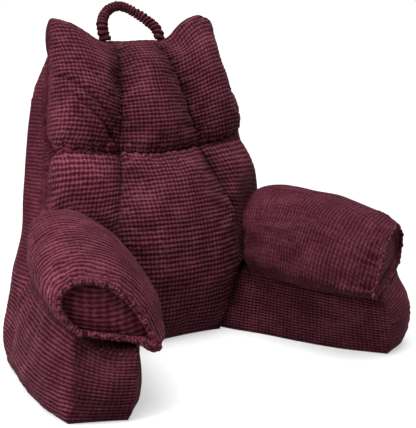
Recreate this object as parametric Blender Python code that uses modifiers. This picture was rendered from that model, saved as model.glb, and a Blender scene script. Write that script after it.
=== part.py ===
"""Reading pillow with arms.

A wedge-shaped back that stands by itself, two short arms that splay outwards, a head cushion
and a lumbar cushion of three channels each, a D-shaped bolster on each arm and a scrunched
carry handle. Metres, +Z up, +X to the sitter's left, -Y to the front. The pillow stands on
Z = 0 and is the same on both sides of X = 0, but for how its bolsters and handle have settled.
Tables give Y from the seat line, which lies CENTRE_Y behind the middle of the whole pillow.
"""
import bpy
import bmesh
import numpy as np

# ------------------------------------------------------------------ driving sizes
CENTRE_Y = 0.035            # from the middle of the pillow back to the seat line
GAP = 0.0003                # between one filled piece and the next

# The back's front plane, on which the two cushions are sewn.
FOOT_Y = 0.020              # where the plane meets the floor
LEAN = 0.29                 # how far it leans back for each metre of height

# The plane on top of each arm, on which its bolster lies.
PERCH_Z = 0.0916            # its height at X = 0 on the seat line
PERCH_RISE_OUT = 0.203      # its rise for each metre outwards
PERCH_RISE_BACK = 0.055     # its rise for each metre towards the back

SEAM_EDGE = 0.006           # height of a cushion's knife edge above the back's plane
TUCK = 0.005                # how far the back's outer seam lies behind its plane

# Thickness of the back from its plane to its rear, at heights.
BACK_THICKNESS = {
    "z": (0.0, 0.15, 0.29, 0.38, 0.46, 0.56, 0.59),
    "t": (0.125, 0.087, 0.056, 0.039, 0.027, 0.021, 0.020),
}

# How much wider its rear is than its front at SIDE_SEAM's width, at heights.
REAR_FLARE = {
    "z": (0.0, 0.15, 0.21, 0.30, 0.38, 0.46, 0.53, 0.59),
    "wide": (0.004, 0.004, 0.006, 0.014, 0.019, 0.013, 0.001, 0.0),
}

# The back's outer seam from the top of the arm to the shoulder, then from the middle of the
# top out to the shoulder.
SIDE_SEAM = {
    "x": (0.284, 0.259, 0.244, 0.233, 0.224, 0.217, 0.212, 0.205, 0.195),
    "z": (0.150, 0.220, 0.287, 0.333, 0.378, 0.433, 0.470, 0.500, 0.525),
}
TOP_SEAM = {
    "x": (0.0, 0.080, 0.121, 0.154, 0.179, 0.195),
    "z": (0.585, 0.585, 0.582, 0.572, 0.553, 0.525),
}

# The lower arm: lines along it from the back's plane to the front cap.
ARM_FLOOR_IN = {
    "x": (0.083, 0.108, 0.138, 0.177, 0.217, 0.277),
    "y": (0.020, -0.030, -0.080, -0.160, -0.230, -0.304),
}
ARM_TOP_IN = {
    "x": (0.130, 0.146, 0.176, 0.216, 0.257),
    "y": (0.054, 0.000, -0.090, -0.200, -0.310),
    "z": (0.112, 0.113, 0.114, 0.114, 0.113),
}
ARM_TOP_OUT = {
    "x": (0.284, 0.312, 0.334, 0.346, 0.349),
    "y": (0.0635, 0.000, -0.090, -0.180, -0.263),
    "z": (0.150, 0.149, 0.148, 0.146, 0.145),
}
ARM_FLOOR_OUT = {
    "x": (0.316, 0.346, 0.360, 0.367, 0.368, 0.357),
    "y": (0.145, 0.020, -0.060, -0.140, -0.210, -0.266),
}
ARM_SIDE_PUFF = 0.014       # how far the outer side swells past its seams
ARM_INNER_PUFF = 0.007      # the same for the inner side
CAP_SEAM_BOW = (0.003, -0.010, 0.0)  # how far the seams down the front cap's sides bow out
CAP_PUFF = 0.018            # the same for the front cap
BACK_PUFF = 0.010           # the same for the rear of the back
PUFF_REACH = 0.030          # distance from a seam over which a panel swells
FLOOR_REACH = 0.014         # the same at the floor, where the weight spreads it

# Seam between the head cushion and the lumbar cushion, out from the middle.
ROW_SEAM = {
    "x": (0.0, 0.050, 0.089, 0.130, 0.168, 0.202),
    "z": (0.343, 0.346, 0.352, 0.359, 0.366, 0.373),
}
ROW_SEAM_DEPTH = {
    "x": (0.0, 0.089, 0.150, 0.186, 0.202),
    "d": (0.044, 0.040, 0.030, 0.014, SEAM_EDGE),
}

# The head cushion on the back's plane: its side, its top edge and the channel seam.
HEAD_SIDE = {
    "x": (0.202, 0.213, 0.2135, 0.207, 0.199, 0.192, 0.184, 0.176, 0.170),
    "z": (0.373, 0.391, 0.420, 0.455, 0.490, 0.530, 0.575, 0.610, 0.622),
}
HEAD_TOP = {
    "x": (0.0, 0.030, 0.048, 0.078, 0.104, 0.132, 0.154, 0.170),
    "z": (0.582, 0.581, 0.577, 0.587, 0.601, 0.613, 0.620, 0.622),
}
HEAD_CHANNEL = {
    "x": (0.089, 0.086, 0.078, 0.071, 0.064, 0.056, 0.048),
    "z": (0.352, 0.380, 0.420, 0.457, 0.495, 0.532, 0.577),
}
# Heights above the back's plane up the head cushion, from the row seam to the top edge: in
# the channel seam, over the middle channel and over the side channels.
HEAD_DEPTH = {
    "v": (0.0, 0.08, 0.20, 0.40, 0.60, 0.80, 0.92, 1.0),
    "seam": (0.040, 0.045, 0.048, 0.048, 0.045, 0.034, 0.019, SEAM_EDGE),
    "middle": (0.044, 0.066, 0.079, 0.083, 0.077, 0.058, 0.036, SEAM_EDGE),
    "side": (0.034, 0.056, 0.069, 0.072, 0.066, 0.050, 0.032, SEAM_EDGE),
}

# The lumbar cushion: the channel seam, which below the arm's top is the cushion's own edge
# between the arms, and the side edge from where the two part.
LUMBAR_CHANNEL = {
    "x": (0.081, 0.0995, 0.116, 0.129, 0.135, 0.137, 0.131, 0.119, 0.107, 0.097, 0.089),
    "z": (0.000, 0.045, 0.085, 0.118, 0.150, 0.185, 0.220, 0.255, 0.290, 0.322, 0.352),
}
LUMBAR_FORK = 3             # row of LUMBAR_CHANNEL where the side edge leaves it
LUMBAR_SIDE = {
    "x": (0.129, 0.165, 0.200, 0.230, 0.242, 0.243, 0.236, 0.228, 0.217, 0.202),
    "z": (0.118, 0.130, 0.138, 0.151, 0.185, 0.235, 0.285, 0.322, 0.352, 0.373),
}
LUMBAR_DEPTH = {
    "z": (0.000, 0.045, 0.085, 0.118, 0.150, 0.185, 0.220, 0.255, 0.290, 0.322, 0.340, 0.352),
    "seam": (0.030, 0.048, 0.062, 0.072, 0.077, 0.080, 0.080, 0.075, 0.066, 0.055, 0.047, 0.040),
    "middle": (0.022, 0.052, 0.074, 0.090, 0.098, 0.104, 0.106, 0.102, 0.094, 0.082, 0.064, 0.044),
    "side": (0.040, 0.050, 0.056, 0.058, 0.060, 0.074, 0.082, 0.083, 0.078, 0.069, 0.056, 0.032),
}

# The slanting plane on which a bolster's rear end presses into the lumbar cushion, and the
# oval on it inside which the cushion is pressed flat.
BED_Y = -0.1306             # its place at X = 0 and Z = 0
BED_TURN = 0.54             # how far it runs back for each metre outwards
BED_OVAL = {"x": 0.226, "z": 0.150, "wide": 0.092, "high": 0.113}
BED_SLOPE = 0.050           # how fast the cushion swells again outside the oval

# Each bolster: stations from its rear to its cap, with the inner and outer side, the height of
# its crown above the perch, the share of the width at which the crown lies, how far the
# section runs back for each metre outwards and upwards, and how full its inner side is.
BOLSTER = {
    "y": (0.032, 0.014, -0.020, -0.070, -0.130, -0.190, -0.245, -0.285),
    "x_in": (0.163, 0.150, 0.142, 0.145, 0.156, 0.172, 0.195, 0.222),
    "x_out": (0.266, 0.284, 0.302, 0.326, 0.350, 0.366, 0.376, 0.374),
    "crown": (0.105, 0.126, 0.139, 0.141, 0.136, 0.126, 0.112, 0.095),
    "lean": (0.50, 0.52, 0.54, 0.55, 0.56, 0.57, 0.58, 0.59),
    "turn": (0.54, 0.52, 0.47, 0.42, 0.38, 0.364, 0.364, 0.364),
    "tip": (0.29, 0.27, 0.22, 0.14, 0.06, 0.0, 0.0, 0.0),
    "full": (1.0, 1.0, 1.0, 1.0, 1.0, 0.95, 0.6, 0.0),
}
TIP_Z = 0.17                # height at which a station's y is measured
# How far each bolster lies off its mirror image, outwards and back, as the pillow stands.
BOLSTER_SET = {"arm_bolster_left": (0.004, -0.004), "arm_bolster_right": (-0.013, 0.004)}
# Its section, from the inner corner over the crown to the outer corner: share of the width,
# share of the crown's height in its body and at its cap.
D_SECTION = {
    "a": (0.09, 0.00, 0.05, 0.15, 0.32, 0.59, 0.85, 0.97, 1.00, 0.92, 0.80),
    "body": (0.00, 0.17, 0.43, 0.68, 0.90, 1.00, 0.90, 0.70, 0.45, 0.17, 0.00),
    "cap": (0.00, 0.07, 0.25, 0.50, 0.82, 1.00, 0.90, 0.70, 0.45, 0.17, 0.00),
}
DROOP = 0.012               # how far its inner side sags below the perch past the arm's edge
DROOP_REACH = 0.035         # distance past that edge at which it has sagged so far

# The carry handle: its middle line over one foot, as distances sideways, up and back.
HANDLE = {
    "x": (0.059, 0.061, 0.054, 0.035, 0.012, 0.0),
    "up": (0.0, 0.012, 0.033, 0.0505, 0.0590, 0.0595),
    "back": (0.0, 0.006, 0.021, 0.035, 0.0407, 0.041),
}
HANDLE_SET = 0.004          # how far it stands off the middle towards +X
HANDLE_RADIUS = 0.0115
HANDLE_RIDGES = 46
HANDLE_RIDGE_DEPTH = 0.0022

COLOURS = {
    "base_body": (0.085, 0.020, 0.036),
    "cushion": (0.110, 0.028, 0.048),
    "bolster": (0.105, 0.026, 0.045),
    "handle": (0.070, 0.016, 0.030),
}


# ------------------------------------------------------------------ curves and grids
def smooth(knots, values, at):
    """A smooth curve through the values at the knots, read at the given places."""
    knots = np.asarray(knots, float)
    values = np.asarray(values, float)
    at = np.asarray(at, float)
    slopes = np.gradient(values, knots, axis=0)
    i = np.clip(np.searchsorted(knots, at, side="right") - 1, 0, len(knots) - 2)
    step = knots[i + 1] - knots[i]
    t = (at - knots[i]) / step
    if values.ndim > 1:
        t, step = t[..., None], step[..., None]
    start = (2 * t**3 - 3 * t**2 + 1) * values[i] + (t**3 - 2 * t**2 + t) * step * slopes[i]
    end = (3 * t**2 - 2 * t**3) * values[i + 1] + (t**3 - t**2) * step * slopes[i + 1]
    return start + end


def lengths(points):
    """Distance along a row of points, from its start to each of them."""
    steps = np.linalg.norm(np.diff(points, axis=0), axis=1)
    return np.concatenate([[0.0], np.cumsum(steps)])


def along(points, count):
    """A smooth curve through the points, cut into count equal lengths."""
    points = np.asarray(points, float)
    knots = lengths(points)
    fine = smooth(knots, points, np.linspace(0, knots[-1], 60 * len(points)))
    run = lengths(fine)
    places = np.linspace(0, run[-1], count + 1)
    return np.stack([np.interp(places, run, fine[:, k]) for k in range(3)], axis=1)


def straight(start, end, count):
    """Evenly spaced points from start to end."""
    return np.linspace(np.asarray(start, float), np.asarray(end, float), count + 1)


def fill(bottom, top, left, right):
    """The grid of points spanned by four edge curves that meet at the corners."""
    u = np.linspace(0, 1, len(bottom))[None, :, None]
    v = np.linspace(0, 1, len(left))[:, None, None]
    across = (1 - v) * bottom[None] + v * top[None]
    up = (1 - u) * left[:, None] + u * right[:, None]
    corners = ((1 - v) * ((1 - u) * bottom[0] + u * bottom[-1])
               + v * ((1 - u) * top[0] + u * top[-1]))
    return across + up - corners


def puffed(grid, height, outward):
    """The grid swollen by height along outward, down to nothing at its four edges."""
    rows = np.linalg.norm(np.diff(grid, axis=1), axis=2)
    columns = np.linalg.norm(np.diff(grid, axis=0), axis=2)
    across = np.pad(np.cumsum(rows, axis=1), ((0, 0), (1, 0)))
    up = np.pad(np.cumsum(columns, axis=0), ((1, 0), (0, 0)))
    rise = 1.0
    for distance in (across, across[:, -1:] - across, up, up[-1:] - up):
        rise = rise * (1 - np.exp(-distance / PUFF_REACH))
    return grid + height * rise[..., None] * np.asarray(outward, float)


def unit(vector):
    """The vector at length one."""
    vector = np.asarray(vector, float)
    return vector / np.linalg.norm(vector, axis=-1, keepdims=True)


# ------------------------------------------------------------------ bodies from grids
class Shell:
    """Collects grids of points, then joins them into one closed body."""

    def __init__(self):
        self.mesh = bmesh.new()

    def grid(self, points):
        """Adds a grid of faces, and skips a face that has shrunk to a line."""
        rows, columns = points.shape[:2]
        made = [[self.mesh.verts.new(p + (0, CENTRE_Y, 0)) for p in row] for row in points]
        for i in range(rows - 1):
            for j in range(columns - 1):
                corners = (made[i][j], made[i][j + 1], made[i + 1][j + 1], made[i + 1][j])
                self.mesh.faces.new(corners)

    def tube(self, rings):
        """Adds the wall through closed rings, and a fan over each end."""
        self.grid(np.concatenate([rings, rings[:, :1]], axis=1))
        for ring in (rings[0], rings[-1]):
            self.fan(ring, ring.mean(axis=0))

    def fan(self, ring, middle):
        """Closes a ring with triangles to one middle point."""
        closed = np.concatenate([ring, ring[:1]])
        self.grid(np.stack([closed, np.repeat(middle[None], len(closed), axis=0)]))

    def face(self, outline):
        """Adds one flat face with the given outline."""
        self.mesh.faces.new([self.mesh.verts.new(p + (0, CENTRE_Y, 0)) for p in outline])

    def build(self, name, colour, mirrored=False):
        """Welds the shell and makes it an object; a mirrored one is a half, X > 0."""
        weld = 0.00002
        bmesh.ops.remove_doubles(self.mesh, verts=self.mesh.verts, dist=weld)
        bmesh.ops.dissolve_degenerate(self.mesh, edges=self.mesh.edges, dist=weld)
        bmesh.ops.recalc_face_normals(self.mesh, faces=self.mesh.faces)
        data = bpy.data.meshes.new(name)
        self.mesh.to_mesh(data)
        self.mesh.free()
        data.shade_smooth()
        thing = bpy.data.objects.new(name, data)
        thing.data.materials.append(cloth(name, colour))
        PARTS.objects.link(thing)
        if mirrored:
            mirror = thing.modifiers.new("halves", "MIRROR")
            mirror.merge_threshold = 0.0001
            mirror.use_clip = True
        return thing


def cloth(name, colour):
    """A plain velvety material."""
    material = bpy.data.materials.new(name)
    material.use_nodes = True
    surface = material.node_tree.nodes["Principled BSDF"]
    surface.inputs["Base Color"].default_value = (*colour, 1.0)
    surface.inputs["Roughness"].default_value = 0.95
    surface.inputs["Metallic"].default_value = 0.0
    return material


def start_collection(name):
    """An empty scene with one collection in it for the pillow's pieces."""
    for thing in list(bpy.data.objects):
        bpy.data.objects.remove(thing, do_unlink=True)
    collection = bpy.data.collections.new(name)
    bpy.context.scene.collection.children.link(collection)
    return collection


# ------------------------------------------------------------------ the base
MID_COLUMNS = 4             # faces from the middle to the arm's inner side
ARM_COLUMNS = 5             # faces across an arm
LOW_ROWS = 6                # faces up an arm
SIDE_ROWS = 13              # faces from an arm's top up to the shoulder
ARM_LENGTHS = 12            # faces along an arm
DEEP_COLUMNS = 4            # faces from the back's plane to its rear
SPINE_POINTS = 8            # points that set the curve up the middle of the rear
ARM_INNER_FACING = (-0.862, -0.507, 0.0)  # the way an arm's inner side swells


def on_back(x, z, depth=0.0):
    """The point of the back's plane at x and z, raised off it by depth."""
    normal = unit((0.0, -1.0, LEAN))
    x, z, depth = np.broadcast_arrays(x, z, depth)
    return np.stack([x, FOOT_Y + LEAN * z, z], axis=-1) + depth[..., None] * normal


def rear_of(points):
    """The points of the back's rear that lie behind the given ones of its front."""
    thickness = smooth(BACK_THICKNESS["z"], BACK_THICKNESS["t"], points[:, 2])
    rear = points.copy()
    wide = smooth(REAR_FLARE["z"], REAR_FLARE["wide"], points[:, 2])
    rear[:, 0] += wide * points[:, 0] / SIDE_SEAM["x"][-1]
    rear[:, 1] = FOOT_Y + LEAN * points[:, 2] + thickness
    return rear


def perch(x, y):
    """Height of the plane on which a bolster lies."""
    return PERCH_Z + PERCH_RISE_OUT * x + PERCH_RISE_BACK * y


def bed(x, z):
    """Y of the plane on which a bolster's rear end presses into the lumbar cushion."""
    return BED_Y + BED_TURN * x + LEAN * z


def side_panel(grid, *distances):
    """How far each point of the outer side swells, from its distances to the seams."""
    rise = 1 - np.exp(-grid[..., 2] / FLOOR_REACH)
    for distance in distances:
        rise = rise * (1 - np.exp(-distance / PUFF_REACH))
    return ARM_SIDE_PUFF * rise[..., None]


def table_points(table):
    """The points of a table of x, y and z, or of x and y on the floor."""
    columns = [table["x"], table["y"], table.get("z", np.zeros(len(table["x"])))]
    return np.stack(columns, axis=1).astype(float)


def back_seams():
    """The back's outer seam up its side and along its top, which meet at the shoulder."""
    side = on_back(np.array(SIDE_SEAM["x"]), np.array(SIDE_SEAM["z"]), -TUCK)
    top = on_back(np.array(TOP_SEAM["x"]), np.array(TOP_SEAM["z"]), -TUCK)
    seam_side, seam_top = along(side, SIDE_ROWS), along(top, MID_COLUMNS + ARM_COLUMNS)
    seam_top[-1] = seam_side[-1] = side[-1]
    return seam_side, seam_top


def arm_lines(seam_foot):
    """The lines along an arm from the back to its front cap, by name."""
    top_in, top_out = table_points(ARM_TOP_IN), table_points(ARM_TOP_OUT)
    top_in[0] = on_back(ARM_TOP_IN["x"][0], ARM_TOP_IN["z"][0])
    top_out[0] = seam_foot
    floor_out = table_points(ARM_FLOOR_OUT)
    return {
        "floor_in": along(table_points(ARM_FLOOR_IN), ARM_LENGTHS),
        "top_in": along(top_in, ARM_LENGTHS),
        "top_out": along(top_out, ARM_LENGTHS),
        "floor_behind": along(floor_out[:2], DEEP_COLUMNS)[::-1],
        "floor_beside": along(floor_out[1:], ARM_LENGTHS),
    }


def across_arm(start, end):
    """A straight line across the arm, in its columns."""
    return straight(start, end, ARM_COLUMNS)


def add_arm(shell, lines, root_in, root_line):
    """Adds an arm's front cap, inner side, top and underside; returns the cap's outer seam."""
    bow = np.sin(np.linspace(0, np.pi, LOW_ROWS + 1))[:, None] * np.array(CAP_SEAM_BOW)
    cap_in = straight(lines["floor_in"][-1], lines["top_in"][-1], LOW_ROWS) + bow
    cap_out = straight(lines["floor_beside"][-1], lines["top_out"][-1], LOW_ROWS) + bow
    cap_foot, cap_top = across_arm(cap_in[0], cap_out[0]), across_arm(cap_in[-1], cap_out[-1])
    cap = fill(cap_foot, cap_top, cap_in, cap_out)
    shell.grid(puffed(cap, CAP_PUFF, unit(np.cross(cap_foot[-1] - cap_foot[0], (0, 0, 1)))))
    inner = fill(lines["floor_in"], lines["top_in"], root_in, cap_in)
    shell.grid(puffed(inner, ARM_INNER_PUFF, ARM_INNER_FACING))
    top = fill(root_line, cap_top, lines["top_in"], lines["top_out"])
    inside = top[1:-1, 1:-1]
    inside[..., 2] = perch(inside[..., 0], inside[..., 1]) - GAP
    shell.grid(top)
    foot = across_arm(lines["floor_in"][0], lines["floor_behind"][0])
    shell.grid(fill(foot, cap_foot, lines["floor_in"], lines["floor_beside"]))
    return cap_out


def add_outer_side(shell, lines, cap_out, corner, through):
    """Adds the panel down the outside of an arm and of the back's foot."""
    floor = np.concatenate([lines["floor_beside"][::-1], lines["floor_behind"][1:]])
    top = np.concatenate([lines["top_out"][::-1], through[1:]])
    panel = fill(floor, top, cap_out, corner)
    steps = np.linalg.norm(np.diff(panel, axis=1), axis=2)
    from_cap = np.pad(np.cumsum(steps, axis=1), ((0, 0), (1, 0)))
    from_rear = from_cap[:, -1:] - from_cap
    past_arm = np.maximum(0, from_cap - from_cap[:, ARM_LENGTHS:ARM_LENGTHS + 1])
    from_top = np.hypot(past_arm, panel[-1:, :, 2] - panel[..., 2])
    swell = side_panel(panel, from_cap, from_rear, from_top)
    shell.grid(panel + swell * np.array((1.0, 0.0, 0.0)))


def add_border(shell, edge, edge_behind):
    """Adds the border strip that runs up the back's side and over its top."""
    strip = np.linspace(edge, edge_behind, DEEP_COLUMNS + 1, axis=1)
    run = np.gradient(edge, axis=0)
    facing = unit(np.stack([run[:, 2], np.zeros(len(run)), -run[:, 0]], axis=1))
    facing[0] = (1.0, 0.0, 0.0)
    facing[-1] = (0.0, 0.0, 1.0)
    from_front = np.linalg.norm(strip - strip[:, :1], axis=2)
    from_rear = np.linalg.norm(strip - strip[:, -1:], axis=2)
    shell.grid(strip + side_panel(strip, from_front, from_rear) * facing[:, None])


def add_rear(shell, floor_rear, rear_top, corner, rear_side):
    """Adds the rear panel; its swelling is worked out over both halves."""
    heights = np.linspace(0, rear_top[0, 2], SPINE_POINTS)
    middle = np.stack([np.zeros(SPINE_POINTS), np.zeros(SPINE_POINTS), heights], axis=1)
    spine = along(rear_of(middle), LOW_ROWS + SIDE_ROWS)
    spine[-1] = rear_top[0]
    half = fill(floor_rear, rear_top, spine, np.concatenate([corner, rear_side[1:]]))
    whole = np.concatenate([half[:, :0:-1] * (-1, 1, 1), half], axis=1)
    shell.grid(puffed(whole, BACK_PUFF, (0.0, 1.0, 0.0))[:, half.shape[1] - 1:])


def base_body():
    """The wedge back and both lower arms: one filled cover, built as its sewn panels."""
    seam_side, seam_top = back_seams()
    rear_side, rear_top = rear_of(seam_side), rear_of(seam_top)
    lines = arm_lines(seam_side[0])
    foot_middle, waist_middle = on_back(0.0, 0.0), on_back(0.0, ARM_TOP_IN["z"][0])
    foot_line = straight(foot_middle, lines["floor_in"][0], MID_COLUMNS)
    waist_line = straight(waist_middle, lines["top_in"][0], MID_COLUMNS)
    root_in = straight(foot_line[-1], waist_line[-1], LOW_ROWS)
    root_line = across_arm(waist_line[-1], seam_side[0])
    corner = straight(lines["floor_behind"][-1], rear_side[0], LOW_ROWS)
    through = straight(seam_side[0], rear_side[0], DEEP_COLUMNS)

    shell = Shell()
    cap_out = add_arm(shell, lines, root_in, root_line)
    add_outer_side(shell, lines, cap_out, corner, through)
    add_border(shell, np.concatenate([seam_side, seam_top[-2::-1]]),
               np.concatenate([rear_side, rear_top[-2::-1]]))

    shell.grid(fill(foot_line, waist_line, straight(foot_middle, waist_middle, LOW_ROWS), root_in))
    spine = straight(waist_middle, seam_top[0], SIDE_ROWS)
    front = fill(np.concatenate([waist_line, root_line[1:]]), seam_top, spine, seam_side)
    inside = front[1:-1, :-1]
    inside[..., 1] = FOOT_Y + LEAN * inside[..., 2]
    shell.grid(front)

    rear_corner = lines["floor_behind"][-1]
    floor_rear = straight((0.0, rear_corner[1], 0.0), rear_corner, MID_COLUMNS + ARM_COLUMNS)
    add_rear(shell, floor_rear, rear_top, corner, rear_side)
    arm_foot = across_arm(lines["floor_in"][0], lines["floor_behind"][0])
    foot = np.concatenate([foot_line, arm_foot[1:]])
    middle = straight(foot_middle, floor_rear[0], DEEP_COLUMNS)
    shell.grid(fill(foot, floor_rear, middle, lines["floor_behind"]))
    return shell.build("base_body", COLOURS["base_body"], mirrored=True)


# ------------------------------------------------------------------ the two cushions
MIDDLE_FACES = 7            # faces across half of a middle channel
SIDE_FACES = 10             # faces across a side channel
HEAD_ROWS = 14              # faces up the head cushion
LUMBAR_ROWS = 20            # faces up the lumbar cushion
LUMBAR_LOW_ROWS = 7         # how many of them lie between the arms
LUMBAR_SQUEEZE = 0.006      # how much wider its front is than its back between the arms
LUMBAR_SQUEEZE_TOP = 0.085  # height at which that ends
CREASE = 0.58               # below 1, the lower the sharper a channel meets its seam
CREST = 0.45                # share of a side channel at which its crest lies
SIDE_OVERHANG = 0.005       # how far a side channel hangs out over its edge seam
EAR_PUFF = 0.018            # how far the back of an ear swells
EAR_START = 0.004           # height above the back's top at which its swelling starts
EAR_REACH = 0.035           # height over which it comes to its full swelling
INNER_ROUND = 2.2           # how far a channel stays full towards its inner seam
OUTER_ROUND = 2.6           # the same towards the cushion's edge
STRAIGHT_UNTIL = 0.2        # height below which a cushion swells ever more straight forwards
ROW_CLEAR = 1.2 * GAP       # between the two cushions along the row seam


def flat_curve(table, count):
    """A curve on the back's plane from a table of x and z, as x and z."""
    points = np.stack([table["x"], np.zeros(len(table["x"])), table["z"]], axis=1)
    return along(points, count)


def channel_profile(u, seam, crest, edge):
    """Depth across a side channel: from its inner seam over the crest to the outer edge."""
    inner = np.clip((CREST - u) / CREST, 0, 1)
    outer = np.clip((u - CREST) / (1 - CREST), 0, 1)
    rise = seam + (crest - seam) * (1 - inner**INNER_ROUND) ** CREASE
    fall = edge + (crest - edge) * (1 - outer**OUTER_ROUND) ** CREASE
    return np.where(u < CREST, rise, fall)


def overhang(flat, share):
    """Pushes the outer part of a channel sideways over its own edge seam."""
    flat[..., 0] += SIDE_OVERHANG * np.sin(np.pi * share**4)


def lift(flat, depth):
    """Raises flat points off the back's plane, straight forwards near the floor."""
    tilt = np.arctan(LEAN) * np.clip(flat[..., 2] / STRAIGHT_UNTIL, 0, 1)
    lifted = flat.copy()
    lifted[..., 1] = FOOT_Y + LEAN * flat[..., 2] - depth * np.cos(tilt)
    lifted[..., 2] = flat[..., 2] + depth * np.sin(tilt)
    return lifted


def row_seam_depth(x):
    """How far the row seam stands off the back's plane."""
    return smooth(ROW_SEAM_DEPTH["x"], ROW_SEAM_DEPTH["d"], x)


def head_cushion():
    """The upper cushion: a middle channel between two that rise into ears."""
    fork = HEAD_TOP["x"].index(HEAD_CHANNEL["x"][-1])
    low = ROW_SEAM["x"].index(HEAD_CHANNEL["x"][0])
    tables = {
        "low_middle": {k: ROW_SEAM[k][:low + 1] for k in "xz"},
        "low_side": {k: ROW_SEAM[k][low:] for k in "xz"},
        "top_middle": {k: HEAD_TOP[k][:fork + 1] for k in "xz"},
        "top_side": {k: HEAD_TOP[k][fork:] for k in "xz"},
    }
    low_middle = flat_curve(tables["low_middle"], MIDDLE_FACES)
    top_middle = flat_curve(tables["top_middle"], MIDDLE_FACES)
    low_side = flat_curve(tables["low_side"], SIDE_FACES)
    top_side = flat_curve(tables["top_side"], SIDE_FACES)
    channel = flat_curve(HEAD_CHANNEL, HEAD_ROWS)
    side = flat_curve(HEAD_SIDE, HEAD_ROWS)
    spine = straight(low_middle[0], top_middle[0], HEAD_ROWS)
    middle = fill(low_middle, top_middle, spine, channel)
    outer = fill(low_side, top_side, channel, side)

    v = np.linspace(0, 1, HEAD_ROWS + 1)[:, None]
    seam = smooth(HEAD_DEPTH["v"], HEAD_DEPTH["seam"], v)
    crown = smooth(HEAD_DEPTH["v"], HEAD_DEPTH["middle"], v)
    crest = smooth(HEAD_DEPTH["v"], HEAD_DEPTH["side"], v)
    u = np.linspace(0, 1, MIDDLE_FACES + 1)[None]
    middle_depth = seam + (crown - seam) * (1 - u**INNER_ROUND) ** CREASE
    u = np.linspace(0, 1, SIDE_FACES + 1)[None]
    side_depth = channel_profile(u, seam, crest, SEAM_EDGE)
    overhang(outer[1:], u)
    for depth, flat in ((middle_depth, middle), (side_depth, outer)):
        depth[0] = row_seam_depth(flat[0, :, 0])
        depth[-1] = SEAM_EDGE
    side_depth[:, 0] = middle_depth[:, -1]
    side_depth[:, -1] = SEAM_EDGE

    shell = Shell()
    flat = np.concatenate([middle, outer[:, 1:]], axis=1)
    flat[0, :, 2] += ROW_CLEAR
    depth = np.concatenate([middle_depth, side_depth[:, 1:]], axis=1)
    front = lift(flat, depth)
    top = np.interp(flat[..., 0], TOP_SEAM["x"], TOP_SEAM["z"])
    past = np.clip((flat[..., 2] - top - EAR_START) / EAR_REACH, 0, 1)
    ear = past**2 * (3 - 2 * past)
    behind = lift(flat, GAP - EAR_PUFF * ear)
    rim = np.concatenate([front[0], front[1:, -1], front[-1, -2::-1]])
    rim_flat = np.concatenate([behind[0], behind[1:, -1], behind[-1, -2::-1]])
    shell.grid(front)
    shell.grid(np.stack([rim, rim_flat]))
    shell.grid(behind)
    return shell.build("head_cushion", COLOURS["cushion"], mirrored=True)


def pressed_to(points):
    """How far forwards the bolster's rear end lets the given points of the cushion come."""
    x, z = points[..., 0], points[..., 2]
    outside = np.hypot((x - BED_OVAL["x"]) / BED_OVAL["wide"], (z - BED_OVAL["z"]) / BED_OVAL["high"]) - 1
    return bed(x, z) - BED_SLOPE * np.maximum(outside, 0)


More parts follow.
